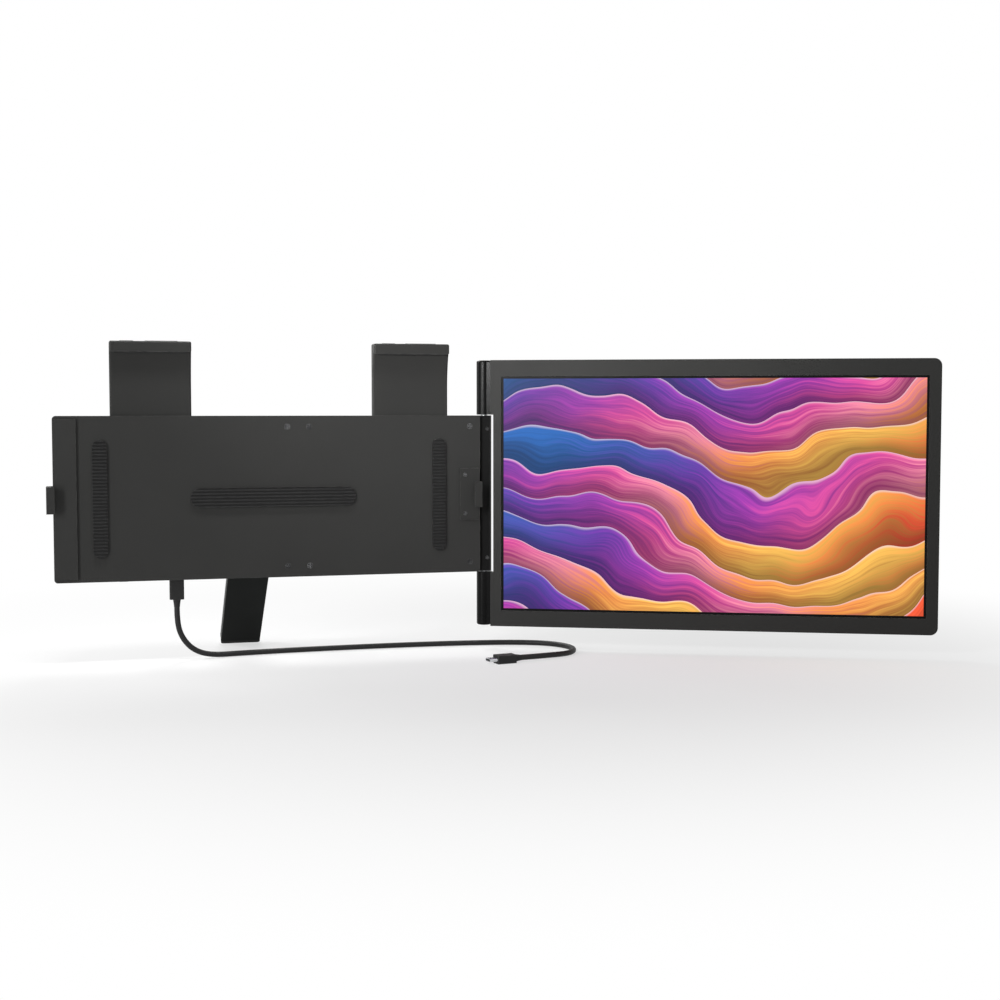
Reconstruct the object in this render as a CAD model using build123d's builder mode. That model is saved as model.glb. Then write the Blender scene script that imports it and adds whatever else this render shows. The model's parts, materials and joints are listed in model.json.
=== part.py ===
# Clip-on portable monitor: a 14 inch screen hinged to a bracket that rests on the back of a lid.
# Millimetres. +Z is up, -Y faces the user, and the origin is the middle of the bracket on the lid's plane.
from build123d import *
import os
from math import cos, pi, radians, sin, tan

os.makedirs("parts", exist_ok=True)

# Screen
active_width = 309.9
active_height = 174.3
bezel_top = 13.5
bezel_bottom = 13.3
bezel_outer_side = 9.8
bezel_hinge_side = 9.6
screen_thickness = 8.0
screen_corner = 5.5
screen_edge_round = 0.7
screen_wall = 1.8
screen_hinge_wall = 3.3
bezel_thickness = 1.2
back_thickness = 1.6
black_border = 1.2
glass_margin = 4.0
glass_thickness = 1.0
backlight_thickness = 1.8
backplate_thickness = 0.6
backplate_hole_radius = 6.0
backplate_hole_spacing = 60.0
led_strip_height = 1.5
spacer_width = 6.0
timing_board_length = 160.0
timing_board_height = 16.0
timing_board_thickness = 1.0
timing_plug_length = 24.0
timing_plug_height = 4.0
timing_plug_thickness = 0.5
lead_strip_width = 5.0
lead_strip_thickness = 0.4

# Hinge
toe_in = 24.0
axis_behind_screen = 2.3
axis_behind_lid = 11.0
axis_to_bezel = 6.3
barrel_notch = 2.2
hinge_seam = 0.6
knuckle_radius = 5.75
knuckle_end_round = 1.4
barrel_radius = 5.5
barrel_flat_depth = 4.4
barrel_strip_depth = 3.0
shaft_radius = 2.5
shaft_end_wall = 9.0
shaft_in_barrel = 29.0
bush_length = 16.0
chamber_radius = 3.6
chamber_length = 24.0
disc_radius = 3.4
disc_thickness = 0.9
disc_count = 6
nut_radius = 3.3
nut_height = 4.0
leaf_thickness = 0.9
neck_cover = 0.3
leaf_end_gap = 7.5
leaf_reach = 32.0
leaf_in_knuckle = 8.0
leaf_screw_spacing = 12.0
leaf_screw_shares = (0.75, 1.75)
lug_length = 18.0
lug_thickness = 2.6
lug_height = 28.0
lug_boss_gap = 4.4
lug_boss_height = 4.8
lug_screw_spacing = 16.0
barrel_screw_inset = 10.0
barrel_screw_offset = 1.4

# Bracket
bracket_length = 310.0
bracket_height = 118.0
bracket_depth = 11.0
bracket_corner = 2.5
bracket_edge_round = 0.8
tray_wall = 2.0
tray_floor = 1.6
cover_thickness = 1.6
cover_seam = 0.3
cover_seam_share = 0.25
cover_boss_radius = 2.6
cover_boss_inset = 8.0
cover_boss_shares = (0.55, 0.15)
pad_thickness = 2.0
end_rim_width = 16.0
middle_pad_length = 120.0
middle_pad_height = 14.0
end_pad_width = 10.0
end_pad_margin = 17.0
end_pad_inset = 22.0

# Top clips
clip_width = 57.0
near_clip_gap = 4.4
clip_thickness = 5.0
clip_back = 9.5
clip_reach = 53.0
clip_hook_height = 7.5
clip_hook_overhang = 2.2
clip_hook_round = 1.6
clip_curve_height = 25.5
clip_down_travel = 19.0
clip_end_gap = 3.0
clip_pad_thickness = 0.7
clip_edge_round = 1.3
clip_mark_shares = [(-0.29, 0.165), (0.135, 0.40)]
clip_mark_width = 1.4
clip_mark_height = 0.4
sleeve_wall = 2.0
sleeve_board_gap = 2.8
slide_clearance = 0.15
shoe_width = 10.0
shoe_height = 8.0
shoe_thickness = 1.2

# Side hooks
hook_height = 19.0
hook_wall = 3.2
hook_overlap = 2.4
hook_lip = 1.5
hook_gap = 6.0
hook_round = 1.2
hook_base_thickness = 1.6
hook_base_height = 39.0
hook_base_width = 15.0
hook_pad_thickness = 0.5
hook_pad_margin = 1.0
near_hook_edge_inset = 0.8
hook_screw_spacing = 29.0
far_hook_rest = 1.3
slider_thickness = 3.0
slider_length = 36.0
slider_sleeve_length = 35.4
slider_sleeve_wall = 2.4

# Leg
leg_angle = 42.0
leg_slot_width = 33.0
leg_slot_share = 0.22
leg_slot_margin = 9.0
leg_slot_wall = 1.6
leg_slot_top_wall = 3.6
leg_slot_round = 4.0
scallop_width = 16.0
scallop_height = 2.4
scallop_depth = 3.4
leg_width = 30.0
leg_thickness = 8.0
leg_end_gap = 2.0
leg_foot_length = 2.5
leg_pin_height = 9.5
leg_pin_radius = 1.5
leg_pin_head_radius = 2.2
leg_pin_head = 0.8
leg_floor_gap = 0.6
leg_corner = 2.0
leg_edge_round = 0.8
leg_cover_width = 24.0
leg_cover_margin = 6.0
leg_cover_thickness = 1.2
leg_cover_start = 11.0
leg_screw_margin = 6.0
washer_radius = 3.4
washer_thickness = 1.35

# Electronics
board_length = 78.0
board_height = 20.0
board_thickness = 1.2
board_standoff = 1.4
board_slot_gap = 8.0
board_bottom_gap = 0.2
board_hole_inset = 2.6
shield_length = 62.0
shield_height = 10.0
shield_depth = 2.8
port_recess = 0.4
usb_width = 9.0
usb_height = 3.2
usb_length = 8.0
usb_wall = 0.3
usb_tongue_width = 6.6
usb_tongue_height = 0.7
usb_tongue_length = 5.2
usb_base_length = 1.2
usb_inset = 12.0
usb_spacing = 14.0
hdmi_width = 11.2
hdmi_height = 3.2
hdmi_side_angle = 74.0
hdmi_wall = 0.4
hdmi_length = 7.5
hdmi_tongue_width = 8.0
hdmi_inset = 45.0
port_clearance = 0.2
button_inset = 63.0
button_width = 6.0
button_depth = 2.6
button_proud = 0.6
button_flange = 1.0
button_flange_height = 1.2
button_stem = 1.2
button_travel_gap = 0.6
switch_height = 3.2
switch_width = 6.0
switch_depth = 3.0
wire_width = 2.4
wire_thickness = 0.8

# Screws
screw_head_radius = 2.0
screw_head_height = 0.9
screw_radius = 1.1
screw_length = 5.0
small_head_radius = 1.35
small_head_height = 0.5
small_screw_radius = 0.7
small_screw_length = 1.0
cross_width_share = 0.28
cross_length_share = 1.3
cross_depth_share = 0.5

# Lead
cord_radius = 2.0
nose_width = 8.2
nose_height = 2.4
nose_wall = 0.55
nose_length = 6.4
grip_width = 10.2
grip_height = 6.2
grip_length = 14.0
grip_round = 1.2
grip_port_gap = 0.5
relief_radius = 2.8
relief_length = 6.0

# Clearances
fit = 0.05
seat = 0.1
overrun = 1.0

# Places worked out from the sizes above
screen_height = active_height + bezel_top + bezel_bottom
screen_top = screen_height / 2
active_middle = (bezel_bottom - bezel_top) / 2
active_start = axis_to_bezel + bezel_hinge_side
active_centre = active_start + active_width / 2
screen_end = active_start + active_width + bezel_outer_side
shell_length = screen_end - axis_to_bezel
shell_centre = axis_to_bezel + shell_length / 2
back_depth = -axis_behind_screen
cavity_depth = back_depth - back_thickness
front_depth = back_depth - screen_thickness
glass_depth = front_depth + bezel_thickness
backlight_depth = glass_depth + glass_thickness
backplate_depth = backlight_depth + backlight_thickness
behind_panel = backplate_depth + backplate_thickness
glass_length = active_width + 2 * glass_margin
glass_height = active_height + 2 * glass_margin
knuckle_start = bracket_height / 2 + hinge_seam
knuckle_height = screen_top - knuckle_start
knuckle_middle = knuckle_start + knuckle_height / 2
notch_height = 2 * knuckle_start
leaf_height = knuckle_height - 2 * leaf_end_gap
shaft_in_knuckle = knuckle_height - shaft_end_wall
neck_front = cavity_depth - leaf_thickness - neck_cover

tray_front = pad_thickness
tray_inner = tray_front + tray_floor
bracket_back = tray_front + bracket_depth
cover_inner = bracket_back - cover_thickness
half_length = bracket_length / 2
half_height = bracket_height / 2
inner_length = bracket_length - 2 * tray_wall
inner_height = bracket_height - 2 * tray_wall
inner_half = inner_height / 2
hinge_x = half_length + barrel_radius

board_bottom = board_bottom_gap - inner_half
sleeve_width = clip_width + 2 * (slide_clearance + sleeve_wall)
sleeve_bottom = board_bottom + board_height + sleeve_board_gap
sleeve_length = inner_half - sleeve_bottom
near_clip_x = half_length - lug_length - near_clip_gap - sleeve_width / 2
far_clip_x = tray_wall - half_length + slider_sleeve_length + sleeve_width / 2
clip_top = half_height + clip_reach
clip_front = clip_back - clip_thickness
clip_bottom = sleeve_bottom + clip_down_travel + clip_end_gap
hook_underside = clip_top - clip_hook_height
slider_back = (tray_inner + cover_inner) / 2 + slider_thickness / 2
slider_front = slider_back - slider_thickness

slot_outer_width = leg_slot_width + 2 * leg_slot_wall
middle_start = far_clip_x + sleeve_width / 2
middle_end = near_clip_x - sleeve_width / 2
middle_free = middle_end - middle_start - slot_outer_width
slot_start = middle_start + middle_free * leg_slot_share
slot_end = slot_start + slot_outer_width
leg_slot_middle = slot_start + slot_outer_width / 2
leg_slot_top = half_height - leg_slot_margin
cover_seam_x = slot_end + (middle_end - slot_end) * cover_seam_share

leg_pivot_y = tray_inner + leg_floor_gap + leg_thickness / 2
leg_pivot_z = leg_pin_height - half_height
leg_reach = leg_slot_top - leg_end_gap - leg_pivot_z
leg_length = leg_reach - leg_foot_length
leg_cover_length = leg_length - leg_cover_start - leg_cover_margin
leg_screw_spacing = leg_cover_length / 2 - leg_screw_margin
table_level = leg_pivot_z - leg_reach * sin(radians(leg_angle)) - leg_thickness / 2 * cos(radians(leg_angle))

board_face = tray_inner + board_standoff + board_thickness
board_right = slot_start - board_slot_gap
board_left = board_right - board_length
board_middle_x = board_left + board_length / 2
board_middle_z = board_bottom + board_height / 2
port_mouth = port_recess - half_height
port_y = board_face + usb_height / 2
usb_first_x = board_right - usb_inset
lead_x = usb_first_x - usb_spacing
hdmi_x = board_right - hdmi_inset
button_x = board_right - button_inset
lug_middle = half_height - cover_boss_inset - cover_boss_radius - lug_boss_gap - lug_height / 2

# Directions and planes
screen_right = Vector(cos(radians(toe_in)), -sin(radians(toe_in)), 0)
screen_back = Vector(sin(radians(toe_in)), cos(radians(toe_in)), 0)
hinge_point = Vector(hinge_x, axis_behind_lid, 0)
leg_along = Vector(0, cos(radians(leg_angle)), -sin(radians(leg_angle)))
leg_up = Vector(0, sin(radians(leg_angle)), cos(radians(leg_angle)))
leg_pivot = Vector(leg_slot_middle, leg_pivot_y, leg_pivot_z)


def screen_plane(depth):
    """A plane along the screen, facing the user, this far behind the hinge axis."""
    return Plane(origin=hinge_point + screen_back * depth, x_dir=screen_right, z_dir=-screen_back)


def screen_spot(along, depth, up):
    """A plane along the screen whose middle is at one spot of it."""
    spot = hinge_point + screen_right * along + screen_back * depth + Vector(0, 0, up)
    return Plane(origin=spot, x_dir=screen_right, z_dir=-screen_back)


def hinge_plane(height):
    """A level plane on the hinge axis, turned with the screen."""
    return Plane(origin=hinge_point + Vector(0, 0, height), x_dir=screen_right, z_dir=(0, 0, 1))


def barrel_plane(height):
    """A level plane on the hinge axis, square to the bracket."""
    return Plane(origin=hinge_point + Vector(0, 0, height), x_dir=(1, 0, 0), z_dir=(0, 0, 1))


def front_plane(depth, x=0, z=0):
    """A plane that faces the user, this far behind the lid's plane."""
    return Plane(origin=(x, depth, z), x_dir=(1, 0, 0), z_dir=(0, -1, 0))


def side_plane(x):
    """An upright plane across the bracket, with Y to the right and Z up."""
    return Plane(origin=(x, 0, 0), x_dir=(0, 1, 0), z_dir=(1, 0, 0))


def port_plane(x, height):
    """A level plane at a port, facing down."""
    return Plane(origin=(x, port_y, height), x_dir=(1, 0, 0), z_dir=(0, 0, -1))


def leg_plane(along, up, x=0):
    """A plane on the leg's upper side, with its Y along the leg."""
    spot = leg_pivot + leg_along * along + leg_up * up + Vector(x, 0, 0)
    return Plane(origin=spot, x_dir=(1, 0, 0), z_dir=leg_up)


leg_side = Plane(origin=leg_pivot, x_dir=leg_along, z_dir=(1, 0, 0))
flush = (Align.CENTER, Align.CENTER, Align.MAX)
standing = (Align.CENTER, Align.CENTER, Align.MIN)


def screw(head_radius, head_height, radius, length):
    """A cross-head screw whose head lies just under the current location."""
    Cylinder(head_radius, head_height, align=flush)
    Cylinder(radius, head_height + length, align=flush)
    cross = head_radius * cross_length_share
    slot = head_radius * cross_width_share
    Box(cross, slot, head_height * cross_depth_share, align=flush, mode=Mode.SUBTRACT)
    Box(slot, cross, head_height * cross_depth_share, align=flush, mode=Mode.SUBTRACT)


def screw_hole(head_radius, head_height, radius, length):
    """The room for such a screw."""
    Cylinder(head_radius + fit, head_height, align=flush, mode=Mode.SUBTRACT)
    Cylinder(radius + fit, head_height + length + fit, align=flush, mode=Mode.SUBTRACT)


def screen_outline(outline):
    """The shell's outline, square at the hinge and round at its outer corners."""
    with Locations((shell_centre, 0)):
        Rectangle(shell_length, screen_height)
    fillet(outline.vertices().group_by(Axis.X)[-1], screen_corner)
    with Locations((axis_to_bezel, 0)):
        Rectangle(2 * barrel_notch, notch_height, mode=Mode.SUBTRACT)


# Screen: front bezel with its window
with BuildPart() as screen_front_bezel:
    with BuildSketch(screen_plane(glass_depth)) as bezel_outline:
        screen_outline(bezel_outline)
    extrude(amount=bezel_thickness)
    with BuildSketch(screen_plane(glass_depth)):
        with Locations((active_centre, active_middle)):
            Rectangle(active_width + 2 * black_border, active_height + 2 * black_border)
    extrude(amount=bezel_thickness, mode=Mode.SUBTRACT)
    bezel_face = screen_front_bezel.faces().sort_by(Axis(origin=(0, 0, 0), direction=-screen_back))[-1]
    fillet(bezel_face.outer_wire().edges(), screen_edge_round)
screen_front_bezel.part.label = "screen_front_bezel"
export_step(screen_front_bezel.part, "parts/screen_front_bezel.step")

# Screen: back cover, a shallow tray that carries the hinge leaves
cavity_start = axis_to_bezel + screen_hinge_wall
cavity_length = screen_end - screen_wall - cavity_start
leaf_spots = [
    screen_spot(cavity_start + leaf_screw_spacing * share, cavity_depth - leaf_thickness, side)
    for side in (-knuckle_middle, knuckle_middle)
    for share in leaf_screw_shares
]
with BuildPart() as screen_back_cover:
    with BuildSketch(screen_plane(back_depth)) as back_outline:
        screen_outline(back_outline)
    extrude(amount=screen_thickness - bezel_thickness)
    rear_rim = screen_back_cover.faces().sort_by(Axis(origin=(0, 0, 0), direction=screen_back))[-1].edges()
    fillet(rear_rim, screen_edge_round)
    with BuildSketch(screen_plane(cavity_depth)):
        with Locations((cavity_start + cavity_length / 2, 0)):
            Rectangle(cavity_length, screen_height - 2 * screen_wall)
    extrude(amount=screen_thickness, mode=Mode.SUBTRACT)
    for side in (-knuckle_middle, knuckle_middle):
        with Locations(screen_spot(axis_to_bezel, cavity_depth, side)):
            Box(4 * screen_hinge_wall, leaf_height + 2 * seat, leaf_thickness + seat, align=standing,
                mode=Mode.SUBTRACT)
    with Locations(*leaf_spots):
        Cylinder(small_screw_radius + fit, leaf_thickness + small_screw_length, align=flush, mode=Mode.SUBTRACT)
screen_back_cover.part.label = "screen_back_cover"
export_step(screen_back_cover.part, "parts/screen_back_cover.step")

# Screen: glass, backlight, light strip and steel plate, laid one behind the other
with BuildPart() as lcd_panel:
    with BuildSketch(screen_plane(backlight_depth)):
        with Locations((active_centre, active_middle)):
            Rectangle(glass_length, glass_height)
    extrude(amount=glass_thickness)
lcd_panel.part.label = "lcd_panel"
export_step(lcd_panel.part, "parts/lcd_panel.step")

with BuildPart() as backlight_unit:
    with BuildSketch(screen_plane(backplate_depth)):
        with Locations((active_centre, active_middle + led_strip_height / 2)):
            Rectangle(glass_length, glass_height - led_strip_height)
    extrude(amount=backlight_thickness)
backlight_unit.part.label = "backlight_unit"
export_step(backlight_unit.part, "parts/backlight_unit.step")

with BuildPart() as led_strip:
    with BuildSketch(screen_plane(backplate_depth)):
        with Locations((active_centre, active_middle - (glass_height - led_strip_height) / 2)):
            Rectangle(active_width, led_strip_height)
    extrude(amount=backlight_thickness)
led_strip.part.label = "led_strip"
export_step(led_strip.part, "parts/led_strip.step")

with BuildPart() as panel_backplate:
    with BuildSketch(screen_plane(behind_panel)):
        with Locations((active_centre, active_middle)):
            Rectangle(glass_length, glass_height)
        with Locations((active_centre, active_middle)):
            with GridLocations(backplate_hole_spacing, backplate_hole_spacing, 4, 2):
                Circle(backplate_hole_radius, mode=Mode.SUBTRACT)
    extrude(amount=backplate_thickness)
panel_backplate.part.label = "panel_backplate"
export_step(panel_backplate.part, "parts/panel_backplate.step")

with BuildPart() as panel_spacers:
    with BuildSketch(screen_plane(cavity_depth)):
        with Locations((active_centre, active_middle)):
            with GridLocations(active_width, glass_height - spacer_width, 1, 2):
                Rectangle(active_width - 2 * leaf_reach, spacer_width)
    extrude(amount=cavity_depth - behind_panel)
panel_spacers.part.label = "panel_spacers"
export_step(panel_spacers.part, "parts/panel_spacers.step")

# Screen: timing board on the steel plate, and the lead from it to the hinge
timing_middle = active_middle - glass_height / 2 + spacer_width * 2 + timing_board_height / 2
timing_back = behind_panel + timing_board_thickness
with BuildPart() as timing_board:
    with BuildSketch(screen_plane(timing_back)):
        with Locations((active_centre, timing_middle)):
            Rectangle(timing_board_length, timing_board_height)
    extrude(amount=timing_board_thickness)
    with BuildSketch(screen_plane(timing_back + timing_plug_thickness)):
        with Locations((active_centre - timing_board_length / 2 + timing_plug_length / 2, timing_middle)):
            Rectangle(timing_plug_length, timing_plug_height)
    extrude(amount=timing_plug_thickness)
timing_board.part.label = "timing_board"
export_step(timing_board.part, "parts/timing_board.step")

lead_strip_end = active_centre - timing_board_length / 2
lead_strip_bend = lead_strip_end - 2 * lead_strip_width
lead_strip_level = 2 * lead_strip_width - knuckle_start
with BuildPart() as panel_lead:
    with BuildSketch(screen_plane(behind_panel + lead_strip_thickness)):
        with BuildLine():
            Polyline((lead_strip_end, timing_middle), (lead_strip_bend, timing_middle),
                     (lead_strip_bend, lead_strip_level), (cavity_start, lead_strip_level))
        trace(line_width=lead_strip_width)
    extrude(amount=lead_strip_thickness)
panel_lead.part.label = "panel_lead"
export_step(panel_lead.part, "parts/panel_lead.step")

# Hinge: knuckles, leaves, shafts and nuts, above and below the barrel
for end, side in (("upper", 1), ("lower", -1)):
    with BuildPart() as knuckle:
        with BuildSketch(hinge_plane(side * knuckle_start)):
            Circle(knuckle_radius)
        extrude(amount=side * knuckle_height)
        fillet(knuckle.faces().sort_by(Axis.Z)[-1 if side > 0 else 0].edges(), knuckle_end_round)
        with BuildSketch(hinge_plane(side * knuckle_start)):
            with Locations((0, neck_front)):
                Rectangle(axis_to_bezel, back_depth - neck_front, align=(Align.MIN, Align.MIN))
        extrude(amount=side * (knuckle_height - knuckle_end_round))
        with Locations(hinge_plane(side * knuckle_start)):
            Cylinder(shaft_radius + fit, 2 * (shaft_in_knuckle + fit), mode=Mode.SUBTRACT)
        with Locations(screen_spot(axis_to_bezel, cavity_depth, side * knuckle_middle)):
            Box(2 * leaf_in_knuckle, leaf_height + 2 * seat, leaf_thickness, align=standing, mode=Mode.SUBTRACT)
    knuckle.part.label = f"knuckle_{end}"
    export_step(knuckle.part, f"parts/knuckle_{end}.step")

    with BuildPart() as hinge_leaf:
        leaf_start = axis_to_bezel - leaf_in_knuckle + seat
        leaf_end = axis_to_bezel + leaf_reach
        with BuildSketch(screen_plane(cavity_depth)):
            with Locations(((leaf_start + leaf_end) / 2, side * knuckle_middle)):
                Rectangle(leaf_end - leaf_start, leaf_height)
        extrude(amount=leaf_thickness)
        with Locations(*leaf_spots):
            Cylinder(small_screw_radius + fit, leaf_thickness, align=flush, mode=Mode.SUBTRACT)
    hinge_leaf.part.label = f"hinge_leaf_{end}"
    export_step(hinge_leaf.part, f"parts/hinge_leaf_{end}.step")

    with BuildPart() as hinge_shaft:
        with BuildSketch(hinge_plane(side * (knuckle_start + shaft_in_knuckle))):
            Circle(shaft_radius)
        extrude(amount=-side * (shaft_in_knuckle + hinge_seam + shaft_in_barrel))
    hinge_shaft.part.label = f"hinge_shaft_{end}"
    export_step(hinge_shaft.part, f"parts/hinge_shaft_{end}.step")

with BuildPart() as leaf_screws:
    with Locations(*[Plane(origin=spot.origin - screen_back * small_head_height, x_dir=screen_right,
                           z_dir=-screen_back) for spot in leaf_spots]):
        screw(small_head_radius, small_head_height, small_screw_radius, leaf_thickness + small_screw_length)
leaf_screws.part.label = "leaf_screws"
export_step(leaf_screws.part, "parts/leaf_screws.step")

disc_start = half_height - bush_length
nut_start = disc_start - disc_count * disc_thickness - fit
with BuildPart() as hinge_nuts:
    for side in (1, -1):
        with BuildSketch(barrel_plane(side * nut_start)):
            RegularPolygon(nut_radius, 6)
            Circle(shaft_radius + fit, mode=Mode.SUBTRACT)
        extrude(amount=-side * nut_height)
hinge_nuts.part.label = "hinge_nuts"
export_step(hinge_nuts.part, "parts/hinge_nuts.step")

# Hinge: barrel with two lugs that reach into the bracket, and a strip that closes its front
lug_front = tray_inner + lug_boss_height
lug_back = lug_front + lug_thickness
lug_x = half_length - lug_length / 2
lug_spots = [
    Plane(origin=(lug_x, lug_back, side * lug_middle + step), x_dir=(1, 0, 0), z_dir=(0, 1, 0))
    for side in (-1, 1)
    for step in (-lug_screw_spacing / 2, lug_screw_spacing / 2)
]
lug_screw_grip = lug_thickness - screw_head_height + lug_boss_height / 2
barrel_screw_height = half_height - barrel_screw_inset
barrel_screw_spots = [
    front_plane(axis_behind_lid - barrel_flat_depth, hinge_x + barrel_screw_offset, side * barrel_screw_height)
    for side in (-1, 1)
]


def barrel_rooms():
    """The bores for the shafts and the two rooms for the disc springs."""
    with Locations(barrel_plane(0)):
        Cylinder(shaft_radius + fit, bracket_height + overrun, mode=Mode.SUBTRACT)
    for side in (-1, 1):
        with Locations(barrel_plane(side * (disc_start - chamber_length / 2))):
            Cylinder(chamber_radius, chamber_length, mode=Mode.SUBTRACT)
    with Locations(*barrel_screw_spots):
        screw_hole(small_head_radius, small_head_height, small_screw_radius, small_screw_length)


with BuildPart() as hinge_barrel:
    with BuildSketch(barrel_plane(-half_height)):
        Circle(barrel_radius)
        web_depth = barrel_radius + bracket_back - axis_behind_lid
        with Locations((-barrel_radius / 2, web_depth / 2 - barrel_radius)):
            Rectangle(barrel_radius, web_depth)
        with Locations((0, -barrel_strip_depth)):
            Rectangle(2 * barrel_radius + overrun, 2 * barrel_radius, align=(Align.CENTER, Align.MAX),
                      mode=Mode.SUBTRACT)
    extrude(amount=bracket_height)
    barrel_rooms()
    for side in (-1, 1):
        with Locations((half_length, lug_front + lug_thickness / 2, side * lug_middle)):
            Box(lug_length, lug_thickness, lug_height, align=(Align.MAX, Align.CENTER, Align.CENTER))
    with Locations(*lug_spots):
        screw_hole(screw_head_radius, screw_head_height, screw_radius, lug_screw_grip)
hinge_barrel.part.label = "hinge_barrel"
export_step(hinge_barrel.part, "parts/hinge_barrel.step")

with BuildPart() as barrel_front_strip:
    with BuildSketch(barrel_plane(-half_height)):
        Circle(barrel_radius)
        with Locations((0, -barrel_strip_depth)):
            Rectangle(2 * barrel_radius + overrun, 3 * barrel_radius, align=(Align.CENTER, Align.MIN),
                      mode=Mode.SUBTRACT)
        with Locations((0, -barrel_flat_depth)):
            Rectangle(2 * barrel_radius, barrel_radius, align=(Align.CENTER, Align.MAX), mode=Mode.SUBTRACT)
    extrude(amount=bracket_height)
    barrel_rooms()
barrel_front_strip.part.label = "barrel_front_strip"
export_step(barrel_front_strip.part, "parts/barrel_front_strip.step")

with BuildPart() as barrel_screws:
    with Locations(*barrel_screw_spots):
        screw(small_head_radius, small_head_height, small_screw_radius, small_screw_length)
barrel_screws.part.label = "barrel_screws"
export_step(barrel_screws.part, "parts/barrel_screws.step")

with BuildPart() as hinge_disc_springs:
    for side in (1, -1):
        for step in range(disc_count):
            with BuildSketch(barrel_plane(side * (disc_start - step * disc_thickness))):
                Circle(disc_radius)
                Circle(shaft_radius + seat, mode=Mode.SUBTRACT)
            extrude(amount=-side * (disc_thickness - fit))
hinge_disc_springs.part.label = "hinge_disc_springs"
export_step(hinge_disc_springs.part, "parts/hinge_disc_springs.step")

# Bracket: tray with the leg's slot, the ways for clips and hook, and the port openings
leg_side_share, hinge_side_share = cover_boss_shares
cover_boss_xs = [
    half_length - cover_boss_inset,
    cover_seam_x + (middle_end - cover_seam_x) * hinge_side_share,
    slot_end + (cover_seam_x - slot_end) * leg_side_share,
    cover_boss_inset - half_length,
]
cover_boss_z = half_height - cover_boss_inset
tray_screw_spots = [front_plane(tray_front, x, z) for x in cover_boss_xs for z in (-cover_boss_z, cover_boss_z)]
hook_base_x = half_length - near_hook_edge_inset - hook_base_width / 2
hook_base_front = tray_front - hook_base_thickness
hook_screw_spots = [
    front_plane(hook_base_front, hook_base_x - hook_base_width / 4, side * hook_screw_spacing / 2)
    for side in (-1, 1)
]
board_holes = [
    (board_left + board_hole_inset, board_bottom + board_height - board_hole_inset),
    (board_left + board_length - board_hole_inset, board_bottom + board_height - board_hole_inset),
    (board_left + board_hole_inset, board_bottom + board_hole_inset),
]
board_screw_spots = [
    Plane(origin=(x, board_face + small_head_height, z), x_dir=(1, 0, 0), z_dir=(0, 1, 0))
    for x, z in board_holes
]
usb_xs = (usb_first_x, lead_x)
slot_floor = leg_slot_top + leg_slot_top_wall
slot_mouth_height = leg_slot_top + half_height
room_depth = cover_inner - tray_inner

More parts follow.
